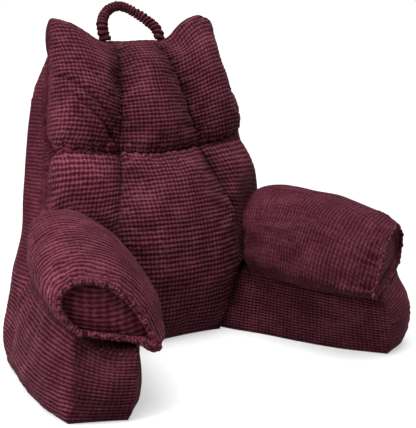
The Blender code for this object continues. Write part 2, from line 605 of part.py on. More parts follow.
def lumbar_cushion():
    """The lower cushion: its middle channel widens downwards and stands between the arms."""
    upper = {k: LUMBAR_CHANNEL[k][LUMBAR_FORK:] for k in "xz"}
    lower = {k: LUMBAR_CHANNEL[k][:LUMBAR_FORK + 1] for k in "xz"}
    low = ROW_SEAM["x"].index(LUMBAR_CHANNEL["x"][-1])
    side_rows = LUMBAR_ROWS - LUMBAR_LOW_ROWS
    channel_up = flat_curve(upper, side_rows)
    edge = np.concatenate([flat_curve(lower, LUMBAR_LOW_ROWS), channel_up[1:]])
    top_middle = flat_curve({k: ROW_SEAM[k][:low + 1] for k in "xz"}, MIDDLE_FACES)
    top_side = flat_curve({k: ROW_SEAM[k][low:] for k in "xz"}, SIDE_FACES)
    bottom = straight((0, 0, 0), edge[0], MIDDLE_FACES)
    spine = straight(bottom[0], top_middle[0], LUMBAR_ROWS)
    middle = fill(bottom, top_middle, spine, edge)
    start = np.repeat(channel_up[:1], SIDE_FACES + 1, axis=0)
    outer = fill(start, top_side, channel_up, flat_curve(LUMBAR_SIDE, side_rows))

    def depths(column, flat):
        height = np.minimum(flat[..., 2], LUMBAR_DEPTH["z"][-1])
        return smooth(LUMBAR_DEPTH["z"], LUMBAR_DEPTH[column], height)

    seam = depths("seam", edge)
    crown = depths("middle", spine)
    u = np.linspace(0, 1, MIDDLE_FACES + 1)[None]
    middle_depth = seam[:, None] + (crown - seam)[:, None] * (1 - u**INNER_ROUND) ** CREASE
    u = np.linspace(0, 1, SIDE_FACES + 1)[None]
    side_edge = np.full(side_rows + 1, SEAM_EDGE)
    side_edge[:3] = np.linspace(seam[LUMBAR_LOW_ROWS], SEAM_EDGE, 4)[:3]
    open_up = np.clip(np.arange(side_rows + 1) / 3, 0, 1)
    fork_seam = seam[LUMBAR_LOW_ROWS:]
    crest = fork_seam + (depths("side", channel_up) - fork_seam) * open_up
    side_depth = channel_profile(u, fork_seam[:, None], crest[:, None], side_edge[:, None])
    for depth, flat in ((middle_depth, middle), (side_depth, outer)):
        depth[-1] = row_seam_depth(flat[-1, :, 0]) - 2 * GAP
    shell = Shell()
    front_middle, front_side = lift(middle, middle_depth), lift(outer, side_depth)
    squeeze = LUMBAR_SQUEEZE * np.clip(1 - edge[:, 2] / LUMBAR_SQUEEZE_TOP, 0, 1)
    share = np.linspace(0, 1, MIDDLE_FACES + 1)[None]
    front_middle[..., 0] += squeeze[:, None] * share
    for front in (front_middle, front_side):
        front[..., 1] = np.maximum(front[..., 1], pressed_to(front))
    shell.grid(front_middle)
    shell.grid(front_side)
    back_middle, back_side = lift(middle, GAP), lift(outer, GAP)
    rim = np.concatenate([front_middle[0], front_middle[1:LUMBAR_LOW_ROWS + 1, -1], front_side[1:, -1],
                          front_side[-1, -2::-1], front_middle[-1, -2::-1]])
    rim_back = np.concatenate([back_middle[0], back_middle[1:LUMBAR_LOW_ROWS + 1, -1], back_side[1:, -1],
                               back_side[-1, -2::-1], back_middle[-1, -2::-1]])
    shell.grid(np.stack([rim, rim_back]))
    shell.face(rim_back)
    return shell.build("lumbar_cushion", COLOURS["cushion"], mirrored=True)


# ------------------------------------------------------------------ the bolsters
BOLSTER_RINGS = 20          # rings along a bolster
BOLSTER_SIDES = 30          # points around it
UNDER_SIDES = 8             # how many of them span its flat underside
REAR_SHARES = (0.40, 0.75)  # sizes of the rings on its pressed rear end, against its outline
LIP_SHARE, LIP_REACH = 0.97, 0.006  # size of the rolled seam's ring, and how far forward it lies
HEM_SHARE, HEM_REACH = 0.90, 0.002  # the same for the ring inside it
CAP_SHARE, CAP_INSET = 0.86, 0.012  # size of the front cap, and how deep it lies behind the seam
RUFFLE = 0.030              # how far the rolled seam waves in and out, against its size
RUFFLES = 13


def d_ring(row, outwards):
    """One section of a bolster from a row of its table, as a closed ring."""
    width = row["x_out"] - row["x_in"]
    share = np.array(D_SECTION["a"])
    height = (row["full"] * np.array(D_SECTION["body"])
              + (1 - row["full"]) * np.array(D_SECTION["cap"]))
    share = share + (row["lean"] - share[height.argmax()]) * 4 * share * (1 - share)
    x = row["x_in"] + width * share + outwards
    rise = height * row["crown"]
    y = row["y"] + row["turn"] * width * (share - 0.5)
    y = y + row["tip"] * (perch(x, y) + rise - TIP_Z)
    over = along(np.stack([x, y, perch(x, y) + rise], axis=1), BOLSTER_SIDES - UNDER_SIDES)
    ring = np.concatenate([over, straight(over[-1], over[0], UNDER_SIDES)[1:-1]])
    top = perch(ring[:, 0], ring[:, 1]) + GAP
    edge = np.interp(-ring[:, 1], -np.array(ARM_TOP_IN["y"]), ARM_TOP_IN["x"])
    sag = DROOP * np.clip((edge - ring[:, 0]) / DROOP_REACH, 0, 1)
    sunk = ring[:, 2] - sag * np.clip(1 - (ring[:, 2] - top) / row["crown"], 0, 1)
    ring[:, 2] = np.maximum(sunk, top - sag)
    return ring


def bolster(name, side):
    """One arm's bolster; side is 1 for +X and -1 for -X."""
    outwards, backwards = BOLSTER_SET[name]
    stations = np.linspace(0, 1, BOLSTER_RINGS)
    knots = np.linspace(0, 1, len(BOLSTER["y"]))
    rows = [{k: float(smooth(knots, BOLSTER[k], s)) for k in BOLSTER} for s in stations]
    for row, station in zip(rows, stations):
        row["y"] += backwards * station
    rings = np.array([d_ring(row, outwards) for row in rows])
    rear = rings[0].mean(axis=0)
    closing = [rear + (rings[0] - rear) * share for share in REAR_SHARES]
    front = rings[-1]
    middle = front.mean(axis=0)
    forward = unit((BOLSTER["turn"][-1], -1.0, 0.0))
    wave = np.sin(RUFFLES * np.linspace(0, 2 * np.pi, len(front), endpoint=False))[:, None]
    lip = middle + (front - middle) * (LIP_SHARE + RUFFLE * wave) + LIP_REACH * forward
    hem = middle + (front - middle) * HEM_SHARE + HEM_REACH * forward
    floor = middle + (front - middle) * CAP_SHARE - CAP_INSET * forward
    rings = np.array([*closing, *rings, lip, hem, floor])
    pressed = bed(rings[..., 0], rings[..., 2]) - GAP
    rings[..., 1] = np.minimum(rings[..., 1], pressed)
    pressed_rings = len(closing) + 1
    rings[:pressed_rings, :, 1] = pressed[:pressed_rings]
    edge = np.interp(-rings[..., 1], -np.array(ARM_TOP_IN["y"]), ARM_TOP_IN["x"])
    sag = DROOP * np.clip((edge - rings[..., 0]) / DROOP_REACH, 0, 1)
    low = perch(rings[..., 0], rings[..., 1]) + GAP - sag
    rings[..., 2] = np.maximum(rings[..., 2], low)
    shell = Shell()
    shell.tube(rings * (side, 1, 1))
    return shell.build(name, COLOURS["bolster"])


# ------------------------------------------------------------------ the handle
HANDLE_SIDES = 12
HANDLE_FOOT_Z = 0.5863      # where its feet stand, on top of the back
FOOT_SHARE = 0.10           # share of the handle's length over which a foot flattens
FOOT_FLAT = 0.55            # a foot's thickness, as a share of the tube's
FOOT_WIDE = 1.12            # a foot's width, as a share of the tube's


def handle():
    """The scrunched tube: its ridges run around it, and its feet are pressed flat."""
    foot = on_back(0.0, TOP_SEAM["z"][0], -0.5 * BACK_THICKNESS["t"][-1])
    half = np.stack([HANDLE["x"], foot[1] + np.array(HANDLE["back"]),
                     HANDLE_FOOT_Z + np.array(HANDLE["up"])], axis=1)
    line = along(np.concatenate([half * (-1, 1, 1), half[-2::-1]]), 2 * HANDLE_RIDGES)
    s = np.linspace(0, 1, len(line))
    ahead = unit(np.gradient(line, axis=0))
    ahead[0], ahead[-1] = (0, 0, 1), (0, 0, -1)
    rise, back = HANDLE["up"][-1], HANDLE["back"][-1]
    slant = unit(np.stack([np.zeros(len(s)), -np.full(len(s), rise), np.full(len(s), back)], axis=1))
    to_foot = np.clip(np.minimum(s, 1 - s) / FOOT_SHARE, 0, 1)[:, None]
    facing = unit(slant * to_foot + (1 - to_foot) * np.array((0.0, -1.0, 0.0)))
    beside = unit(np.cross(ahead, facing))
    facing = np.cross(beside, ahead)
    ridge = HANDLE_RADIUS - HANDLE_RIDGE_DEPTH * (np.arange(len(s)) % 2)[:, None]
    thick = ridge * (FOOT_FLAT + (1 - FOOT_FLAT) * to_foot)
    wide = ridge * (FOOT_WIDE + (1 - FOOT_WIDE) * to_foot)
    angle = np.linspace(0, 2 * np.pi, HANDLE_SIDES, endpoint=False)
    line[:, 0] += HANDLE_SET
    rings = (line[:, None] + (wide * np.cos(angle))[..., None] * beside[:, None]
             + (thick * np.sin(angle))[..., None] * facing[:, None])
    shell = Shell()
    shell.tube(rings)
    return shell.build("handle", COLOURS["handle"])


PARTS = start_collection("reading_pillow")
base_body()
head_cushion()
lumbar_cushion()
bolster("arm_bolster_left", -1)
bolster("arm_bolster_right", 1)
handle()
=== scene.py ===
"""Reading pillow with arms: how it looks.

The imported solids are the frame. Each cover is built again here from the same tables, on fine
grids, and carries the waffle plush's ribs, its gathers along the seams, folds and lumps.
Metres, +Z up, +X to the sitter's left, -Y to the front. Tables give Y from the seat line.
"""
import bmesh
import bpy
import numpy as np
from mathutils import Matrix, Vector


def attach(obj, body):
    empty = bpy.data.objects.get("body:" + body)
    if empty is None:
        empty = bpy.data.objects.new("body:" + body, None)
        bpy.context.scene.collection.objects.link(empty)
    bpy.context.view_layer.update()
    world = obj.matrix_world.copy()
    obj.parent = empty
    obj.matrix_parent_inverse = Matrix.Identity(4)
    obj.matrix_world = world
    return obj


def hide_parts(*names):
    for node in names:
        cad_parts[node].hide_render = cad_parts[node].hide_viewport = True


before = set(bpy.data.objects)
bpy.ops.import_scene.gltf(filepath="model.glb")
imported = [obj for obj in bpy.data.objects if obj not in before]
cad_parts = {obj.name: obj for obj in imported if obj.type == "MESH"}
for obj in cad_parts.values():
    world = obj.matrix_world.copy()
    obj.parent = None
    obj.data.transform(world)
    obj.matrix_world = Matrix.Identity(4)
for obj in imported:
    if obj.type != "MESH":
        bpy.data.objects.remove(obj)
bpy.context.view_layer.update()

# ---------- sizes, as in the solids
CENTRE_Y = 0.035
GAP = 0.0003
FOOT_Y = 0.020
LEAN = 0.29
PERCH_Z = 0.0916
PERCH_RISE_OUT = 0.203
PERCH_RISE_BACK = 0.055
SEAM_EDGE = 0.006
TUCK = 0.005
BACK_THICKNESS = {
    "z": (0.0, 0.15, 0.29, 0.38, 0.46, 0.56, 0.59),
    "t": (0.125, 0.087, 0.056, 0.039, 0.027, 0.021, 0.020),
}
REAR_FLARE = {
    "z": (0.0, 0.15, 0.21, 0.30, 0.38, 0.46, 0.53, 0.59),
    "wide": (0.004, 0.004, 0.006, 0.014, 0.019, 0.013, 0.001, 0.0),
}
SIDE_SEAM = {
    "x": (0.284, 0.259, 0.244, 0.233, 0.224, 0.217, 0.212, 0.205, 0.195),
    "z": (0.150, 0.220, 0.287, 0.333, 0.378, 0.433, 0.470, 0.500, 0.525),
}
TOP_SEAM = {
    "x": (0.0, 0.080, 0.121, 0.154, 0.179, 0.195),
    "z": (0.585, 0.585, 0.582, 0.572, 0.553, 0.525),
}
ARM_FLOOR_IN = {
    "x": (0.083, 0.108, 0.138, 0.177, 0.217, 0.277),
    "y": (0.020, -0.030, -0.080, -0.160, -0.230, -0.304),
}
ARM_TOP_IN = {
    "x": (0.130, 0.146, 0.176, 0.216, 0.257),
    "y": (0.054, 0.000, -0.090, -0.200, -0.310),
    "z": (0.112, 0.113, 0.114, 0.114, 0.113),
}
ARM_TOP_OUT = {
    "x": (0.284, 0.312, 0.334, 0.346, 0.349),
    "y": (0.0635, 0.000, -0.090, -0.180, -0.263),
    "z": (0.150, 0.149, 0.148, 0.146, 0.145),
}
ARM_FLOOR_OUT = {
    "x": (0.316, 0.346, 0.360, 0.367, 0.368, 0.357),
    "y": (0.145, 0.020, -0.060, -0.140, -0.210, -0.266),
}
ARM_SIDE_PUFF = 0.014
ARM_INNER_PUFF = 0.007
CAP_SEAM_BOW = (0.003, -0.010, 0.0)
CAP_PUFF = 0.018
BACK_PUFF = 0.010
PUFF_REACH = 0.030
FLOOR_REACH = 0.014
ROW_SEAM = {
    "x": (0.0, 0.050, 0.089, 0.130, 0.168, 0.202),
    "z": (0.343, 0.346, 0.352, 0.359, 0.366, 0.373),
}
ROW_SEAM_DEPTH = {
    "x": (0.0, 0.089, 0.150, 0.186, 0.202),
    "d": (0.044, 0.040, 0.030, 0.014, SEAM_EDGE),
}
HEAD_SIDE = {
    "x": (0.202, 0.213, 0.2135, 0.207, 0.199, 0.192, 0.184, 0.176, 0.170),
    "z": (0.373, 0.391, 0.420, 0.455, 0.490, 0.530, 0.575, 0.610, 0.622),
}
HEAD_TOP = {
    "x": (0.0, 0.030, 0.048, 0.078, 0.104, 0.132, 0.154, 0.170),
    "z": (0.582, 0.581, 0.577, 0.587, 0.601, 0.613, 0.620, 0.622),
}
HEAD_CHANNEL = {
    "x": (0.089, 0.086, 0.078, 0.071, 0.064, 0.056, 0.048),
    "z": (0.352, 0.380, 0.420, 0.457, 0.495, 0.532, 0.577),
}
HEAD_DEPTH = {
    "v": (0.0, 0.08, 0.20, 0.40, 0.60, 0.80, 0.92, 1.0),
    "seam": (0.040, 0.045, 0.048, 0.048, 0.045, 0.034, 0.019, SEAM_EDGE),
    "middle": (0.044, 0.066, 0.079, 0.083, 0.077, 0.058, 0.036, SEAM_EDGE),
    "side": (0.034, 0.056, 0.069, 0.072, 0.066, 0.050, 0.032, SEAM_EDGE),
}
LUMBAR_CHANNEL = {
    "x": (0.081, 0.0995, 0.116, 0.129, 0.135, 0.137, 0.131, 0.119, 0.107, 0.097, 0.089),
    "z": (0.000, 0.045, 0.085, 0.118, 0.150, 0.185, 0.220, 0.255, 0.290, 0.322, 0.352),
}
LUMBAR_FORK = 3
LUMBAR_SIDE = {
    "x": (0.129, 0.165, 0.200, 0.230, 0.242, 0.243, 0.236, 0.228, 0.217, 0.202),
    "z": (0.118, 0.130, 0.138, 0.151, 0.185, 0.235, 0.285, 0.322, 0.352, 0.373),
}
LUMBAR_DEPTH = {
    "z": (0.000, 0.045, 0.085, 0.118, 0.150, 0.185, 0.220, 0.255, 0.290, 0.322, 0.340, 0.352),
    "seam": (0.030, 0.048, 0.062, 0.072, 0.077, 0.080, 0.080, 0.075, 0.066, 0.055, 0.047, 0.040),
    "middle": (0.022, 0.052, 0.074, 0.090, 0.098, 0.104, 0.106, 0.102, 0.094, 0.082, 0.064, 0.044),
    "side": (0.040, 0.050, 0.056, 0.058, 0.060, 0.074, 0.082, 0.083, 0.078, 0.069, 0.056, 0.032),
}
BED_Y = -0.1306
BED_TURN = 0.54
BED_OVAL = {"x": 0.226, "z": 0.150, "wide": 0.092, "high": 0.113}
BED_SLOPE = 0.050
BOLSTER = {
    "y": (0.032, 0.014, -0.020, -0.070, -0.130, -0.190, -0.245, -0.285),
    "x_in": (0.163, 0.150, 0.142, 0.145, 0.156, 0.172, 0.195, 0.222),
    "x_out": (0.266, 0.284, 0.302, 0.326, 0.350, 0.366, 0.376, 0.374),
    "crown": (0.105, 0.126, 0.139, 0.141, 0.136, 0.126, 0.112, 0.095),
    "lean": (0.50, 0.52, 0.54, 0.55, 0.56, 0.57, 0.58, 0.59),
    "turn": (0.54, 0.52, 0.47, 0.42, 0.38, 0.364, 0.364, 0.364),
    "tip": (0.29, 0.27, 0.22, 0.14, 0.06, 0.0, 0.0, 0.0),
    "full": (1.0, 1.0, 1.0, 1.0, 1.0, 0.95, 0.6, 0.0),
}
TIP_Z = 0.17
D_SECTION = {
    "a": (0.09, 0.00, 0.05, 0.15, 0.32, 0.59, 0.85, 0.97, 1.00, 0.92, 0.80),
    "body": (0.00, 0.17, 0.43, 0.68, 0.90, 1.00, 0.90, 0.70, 0.45, 0.17, 0.00),
    "cap": (0.00, 0.07, 0.25, 0.50, 0.82, 1.00, 0.90, 0.70, 0.45, 0.17, 0.00),
}
DROOP = 0.012
DROOP_REACH = 0.035
HANDLE = {
    "x": (0.059, 0.061, 0.054, 0.035, 0.012, 0.0),
    "up": (0.0, 0.012, 0.033, 0.0505, 0.0590, 0.0595),
    "back": (0.0, 0.006, 0.021, 0.035, 0.0407, 0.041),
}
HANDLE_SET = 0.004
HANDLE_FOOT_Z = 0.5863
FOOT_SHARE = 0.10
FOOT_FLAT = 0.55
FOOT_WIDE = 1.12
CREASE = 0.58
FLANK = 0.76                # the channels fall off softer than on the solids, where that is CREASE
CREST = 0.45
SIDE_OVERHANG = 0.005
EAR_PUFF = 0.018
EAR_START = 0.004
EAR_REACH = 0.035
INNER_ROUND = 2.2
OUTER_ROUND = 2.6
STRAIGHT_UNTIL = 0.2
LUMBAR_SQUEEZE = 0.006
LUMBAR_SQUEEZE_TOP = 0.085
ROW_CLEAR = 1.2 * GAP
ARM_INNER_FACING = (-0.862, -0.507, 0.0)
SPINE_POINTS = 8
REAR_SHARES = (0.40, 0.75)

# ---------- the cloth
ROW_PITCH = 0.0083          # from one rib to the next
COLUMN_PITCH = 0.0082       # from one short groove across the ribs to the next
SAMPLES = 4                 # faces for each rib
RIB_HEIGHT = 0.0018
COLUMN_SHARE = 0.55         # how far the ridges across the ribs fill the grooves between them
SEAM_FADE = 0.0025          # distance from a seam over which the ribs come up
GATHER_HEIGHT = 0.0020
GATHER_REACH = 0.016
LUMP_HEIGHT = 0.0012
SEAM_BULGE = 0.0045         # how far a cushion swells over the seam between the two
SEAM_BULGE_REACH = 0.011

# Faces, in ribs or columns times SAMPLES.
HEAD_ROWS = 33 * SAMPLES
HEAD_MIDDLE = 8 * SAMPLES
HEAD_OUTER = 14 * SAMPLES
LUMBAR_LOW = 15 * SAMPLES
LUMBAR_HIGH = 30 * SAMPLES
LUMBAR_MIDDLE = 14 * SAMPLES
LUMBAR_OUTER = 15 * SAMPLES
LOW_ROWS = 21 * SAMPLES
SIDE_ROWS = 53 * SAMPLES
ARM_COLUMNS = 36
MID_COLUMNS = 20
ARM_LENGTHS = 92
DEEP_COLUMNS = 20


# ---------- curves and grids
MIRROR = np.array((-1, 1, 1))


def smooth(knots, values, at):
    """A smooth curve through the values at the knots, read at the given places."""
    knots, values, at = (np.asarray(given, float) for given in (knots, values, at))
    slopes = np.gradient(values, knots, axis=0)
    i = np.clip(np.searchsorted(knots, at, side="right") - 1, 0, len(knots) - 2)
    step = knots[i + 1] - knots[i]
    t = (at - knots[i]) / step
    if values.ndim > 1:
        shape = t.shape + (1,) * (values.ndim - 1)
        t, step = t.reshape(shape), step.reshape(shape)
    start = (2 * t**3 - 3 * t**2 + 1) * values[i] + (t**3 - 2 * t**2 + t) * step * slopes[i]
    end = (3 * t**2 - 2 * t**3) * values[i + 1] + (t**3 - t**2) * step * slopes[i + 1]
    return start + end


def eased(share):
    """The share kept from 0 to 1, with a soft start and end."""
    share = np.clip(share, 0, 1)
    return share**2 * (3 - 2 * share)


def lengths(points):
    """Distance along a row of points, from its start to each of them."""
    steps = np.linalg.norm(np.diff(points, axis=0), axis=1)
    return np.concatenate([[0.0], np.cumsum(steps)])


def along(points, count):
    """A smooth curve through the points, cut into count equal lengths."""
    points = np.asarray(points, float)
    knots = lengths(points)
    fine = smooth(knots, points, np.linspace(0, knots[-1], 60 * len(points)))
    run = lengths(fine)
    places = np.linspace(0, run[-1], count + 1)
    return np.stack([np.interp(places, run, fine[:, k]) for k in range(3)], axis=1)


def straight(start, end, count):
    """Evenly spaced points from start to end."""
    return np.linspace(np.asarray(start, float), np.asarray(end, float), count + 1)


def fill(bottom, top, left, right):
    """The grid of points spanned by four edge curves that meet at the corners."""
    u = np.linspace(0, 1, len(bottom))[None, :, None]
    v = np.linspace(0, 1, len(left))[:, None, None]
    across = (1 - v) * bottom[None] + v * top[None]
    up = (1 - u) * left[:, None] + u * right[:, None]
    corners = ((1 - v) * ((1 - u) * bottom[0] + u * bottom[-1])
               + v * ((1 - u) * top[0] + u * top[-1]))
    return across + up - corners


def runs(grid):
    """Distances along the rows and up the columns of a grid, to each of its points."""
    rows = np.linalg.norm(np.diff(grid, axis=1), axis=2)
    columns = np.linalg.norm(np.diff(grid, axis=0), axis=2)
    return (np.pad(np.cumsum(rows, axis=1), ((0, 0), (1, 0))),
            np.pad(np.cumsum(columns, axis=0), ((1, 0), (0, 0))))


def to_edges(across, up):
    """Distances to a grid's four edges, from the runs over it."""
    return [across, across[:, -1:] - across, up, up[-1:] - up]


def cells(grid, centre=0, first=0):
    """The runs over a grid, with u in columns from the centre one and v in ribs from the first."""
    across, up = runs(grid)
    u = (across - across[:, centre:centre + 1]) / COLUMN_PITCH
    v = (first + np.arange(len(grid)))[:, None] / SAMPLES + 0 * across
    return across, up, u, v


def risen(distances, reach):
    """From 0 on the lines from which the distances count to 1 well away from all of them."""
    share = 1.0
    for distance in distances:
        share = share * (1 - np.exp(-distance / reach))
    return share


def puffed(grid, height, outward):
    """The grid swollen by height along outward, down to nothing at its four edges."""
    rise = risen(to_edges(*runs(grid)), PUFF_REACH)
    return grid + height * rise[..., None] * np.asarray(outward, float)


def unit(vector):
    """The vector at length one, and a zero vector left at zero."""
    vector = np.asarray(vector, float)
    size = np.linalg.norm(vector, axis=-1, keepdims=True)
    return vector / np.maximum(size, 1e-12)


def both(half):
    """A half grid of points or numbers, from X = 0 outwards, joined to its mirror image."""
    other = half[:, :0:-1]
    return np.concatenate([other * MIRROR if half.ndim > 2 else other, half], axis=1)


def mirrored_loop(line):
    """The loop of a line that starts and ends at X = 0 and its mirror image."""
    return np.concatenate([line[:-1], line[:0:-1] * MIRROR])


def quads(rows, columns, start=0):
    """Corner numbers of a grid's faces, where the points count row by row from start."""
    number = start + np.arange(rows * columns).reshape(rows, columns)
    corners = (number[:-1, :-1], number[:-1, 1:], number[1:, 1:], number[1:, :-1])
    return np.stack(corners, axis=-1).reshape(-1, 4).tolist()


# ---------- relief of the cloth
LUMP_WAVES = (0.05, 0.065, 0.08, 0.11, 0.14)
GATHER_WAVES = (0.011, 0.0145, 0.019, 0.026)
WAVES_SIZE = 1.2            # brings a sum of waves down to about -1 to 1
GROOVE_SHARP = 2.5          # how narrow the grooves between the ribs are
SUNK = 0.6                  # share of a rib's height that lies inside the modelled shape
SIDES_APART = 0.5           # keeps the gathers on one side of a seam unlike those on the other


def waves(where, wavelengths, seed):
    """A soft random field from about -1 to 1 with waves of about these lengths."""
    random = np.random.default_rng(seed)
    total = 0.0
    for length in wavelengths:
        way = random.normal(size=where.shape[-1])
        way = way / np.linalg.norm(way)
        total = total + np.sin(where @ way * 2 * np.pi / length + random.uniform(0, 2 * np.pi))
    return total / np.sqrt(len(wavelengths)) / WAVES_SIZE


def gathers(place, distance, seed, reach=GATHER_REACH):
    """Small wrinkles that stand across a seam, from the place along it and the distance."""
    field = waves(place[..., None], GATHER_WAVES, seed)
    return field * np.exp(-distance / reach) * (1 - np.exp(-distance / SEAM_FADE))


def ribs(u, v):
    """Height of the waffle at u columns and v ribs, from 0 in its pits to 1 on a rib."""
    groove = np.abs(2 * (v % 1) - 1) ** GROOVE_SHARP
    return 1 - groove * (1 - COLUMN_SHARE * (0.5 + 0.5 * np.cos(2 * np.pi * u)))


def normals(grid, outward):
    """Unit normals of a grid, on the side to which outward points."""
    across, up = np.gradient(grid, axis=1), np.gradient(grid, axis=0)
    facing = np.cross(across, up)
    good = np.linalg.norm(facing, axis=-1) > 1e-12
    for i in range(len(facing)):
        if not good[i].all():
            near = i + 1 if i + 1 < len(facing) else i - 1
            facing[i][~good[i]] = facing[near][~good[i]]
    facing = unit(facing)
    if (facing * np.asarray(outward, float)).sum(axis=-1).mean() < 0:
        facing = -facing
    return facing


# ---------- cloth simulation
SIM_STEP = 2                # faces of the fine grid for each of the simulated cloth's
SIM_FRAMES = 16
SIM_CAP = 0.009             # how far the cloth may move from its modelled shape
CLOTH = {"quality": 6, "mass": 0.15, "air_damping": 4.0, "tension_stiffness": 30.0,
         "compression_stiffness": 30.0, "shear_stiffness": 12.0, "bending_stiffness": 0.25,
         "vertex_group_mass": "held", "pin_stiffness": 30.0, "use_pressure": True}


def every_few(count):
    """Every SIM_STEP-th place of so many, and the last one."""
    return np.unique(np.append(np.arange(0, count, SIM_STEP), count - 1))


def simulated(coarse, fixed, grow, pressure):
    """How far each point of a coarse grid moves as cloth that is pinned where fixed."""
    data = bpy.data.meshes.new("cloth")
    data.from_pydata(coarse.reshape(-1, 3).tolist(), [], quads(*fixed.shape))
    thing = bpy.data.objects.new("cloth", data)
    scene = bpy.context.scene
    scene.collection.objects.link(thing)
    thing.vertex_groups.new(name="held").add(np.flatnonzero(fixed.ravel()).tolist(), 1.0, "REPLACE")
    cloth = thing.modifiers.new("cloth", "CLOTH")
    cloth.collision_settings.use_collision = False
    cloth.point_cache.frame_start, cloth.point_cache.frame_end = 1, SIM_FRAMES
    for key, value in CLOTH.items():
        setattr(cloth.settings, key, value)
    cloth.settings.shrink_min = -grow
    cloth.settings.uniform_pressure_force = pressure
    cloth.settings.effector_weights.gravity = 0.0
    for number in range(1, SIM_FRAMES + 1):
        scene.frame_set(number)
    shape = thing.evaluated_get(bpy.context.evaluated_depsgraph_get()).to_mesh()
    moved = np.empty(coarse.size)
    shape.vertices.foreach_get("co", moved)
    offset = moved.reshape(coarse.shape) - coarse
    bpy.data.objects.remove(thing, do_unlink=True)
    bpy.data.meshes.remove(data)
    scene.frame_set(1)
    return offset


def settled(grid, held, grow, pressure):
    """The grid as cloth that is a little too large for its seams, blown up and at rest.

    held says which points are sewn down or pressed; grow is the cloth's spare length."""
    rows, columns = (every_few(count) for count in grid.shape[:2])
    fixed = held[np.ix_(rows, columns)]
    offset = simulated(grid[np.ix_(rows, columns)], fixed, grow, pressure)
    size = np.linalg.norm(offset, axis=-1, keepdims=True)
    offset = offset * np.minimum(1, SIM_CAP / np.maximum(size, 1e-9))
    offset[fixed] = 0.0
    offset = smooth(rows, offset, np.arange(grid.shape[0]))
    offset = smooth(columns, offset.swapaxes(0, 1), np.arange(grid.shape[1])).swapaxes(0, 1)
    offset[held] = 0.0
    return grid + offset


def sewn(grid, seams=()):
    """Marks a grid's edges and its seams as held."""
    held = np.zeros(grid.shape[:2], bool)
    held[[0, -1]] = True
    held[:, [0, -1, *seams]] = True
    return held


# ---------- the covers
WELD = 0.00003              # points closer together than this become one
VALLEY_PAINTED_SHADE = 0.50         # painted shade: how much darker the colour is made right at a cushion's seams, where the valleys lie in shadow
VALLEY_REACH = 0.020
# A painted highlight: the colour made lighter in one patch on the lumbar cushion's left channel,
# where the light falls fullest.
PAINTED_HIGHLIGHT_PATCH = {"x": -0.165, "z": 0.335, "reach": 0.060, "lighter": 0.46}


class Cover:
    """Collects fine grids, then joins them into one closed cloth cover.

    On side -1 it mirrors everything that is added to it."""

    def __init__(self, side=1):
        self.points, self.weave, self.nap, self.faces, self.count = [], [], [], [], 0
        self.flip = (side, 1, 1)

    def add(self, grid, u=0.5, v=0.5, plain=0.0, faded=0.0, shade=0.0):
        """Adds a grid as it stands, with its cloth coordinates.

        plain says how far the ridges across the ribs have worn away, faded how far the whole
        waffle has, and shade is painted shade: how much darker the colour is made, or lighter as a
        painted highlight where it is negative."""
        rows, columns = grid.shape[:2]
        self.faces.extend(quads(rows, columns, self.count))
        self.points.append(grid.reshape(-1, 3) * self.flip)
        for layer, values in ((self.weave, (u, v, plain)), (self.nap, (faded, shade, 0.0))):
            parts = [np.broadcast_to(value, (rows, columns)) for value in values]
            layer.append(np.stack(parts, axis=-1).reshape(-1, 3))
        self.count += rows * columns

    def clothe(self, grid, outward, seed, centre=0, first=0, plain=0.0, faded=0.0, shade=0.0,
               valleys=False, **relief):
        """Adds a grid with the cloth's relief on it; returns it with its cloth coordinates.

        shade, the painted shade, may be a function of the runs across the grid. valleys takes it
        from the seams: painted shade there, and a painted highlight patch."""
        across, _, u, v = cells(grid, centre, first)
        shown = dressed(grid, outward, u, v, seed, **relief)
        if valleys:
            shade = painted_shade_and_highlight(shown, relief["seams"], relief["seam_rows"])
        elif callable(shade):
            shade = shade(across)
        self.add(shown, u, v, plain, faded, shade)
        return shown, u, v

    def outline(self, points):
        """Adds one face with the given outline."""
        self.faces.append(list(range(self.count, self.count + len(points))))
        self.points.append(points * self.flip)
        self.weave.append(np.tile((0.5, 0.5, 0.0), (len(points), 1)))
        self.nap.append(np.zeros((len(points), 3)))
        self.count += len(points)

    def build(self, name, node, finish, material, fullness):
        """Welds the cover into a piece, on its body and in the place of its CAD node."""
        data = bpy.data.meshes.new(name)
        points = np.concatenate(self.points) + (0, CENTRE_Y, 0)
        points[:, 2] = np.maximum(points[:, 2], 0.0)
        data.from_pydata(points.tolist(), [], self.faces)
        for layer, values in (("weave", self.weave), ("nap", self.nap)):
            made = data.attributes.new(layer, "FLOAT_VECTOR", "POINT")
            made.data.foreach_set("vector", np.concatenate(values).ravel())
        body = bmesh.new()
        body.from_mesh(data)
        bmesh.ops.remove_doubles(body, verts=body.verts, dist=WELD)
        bmesh.ops.dissolve_degenerate(body, edges=body.edges, dist=WELD / 3)
        bmesh.ops.recalc_face_normals(body, faces=body.faces)
        body.to_mesh(data)
        body.free()
        data.shade_smooth()
        data.materials.append(material)
        piece = bpy.data.objects.new(name, data)
        bpy.context.scene.collection.objects.link(piece)
        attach(piece, "root")
        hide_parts(node)


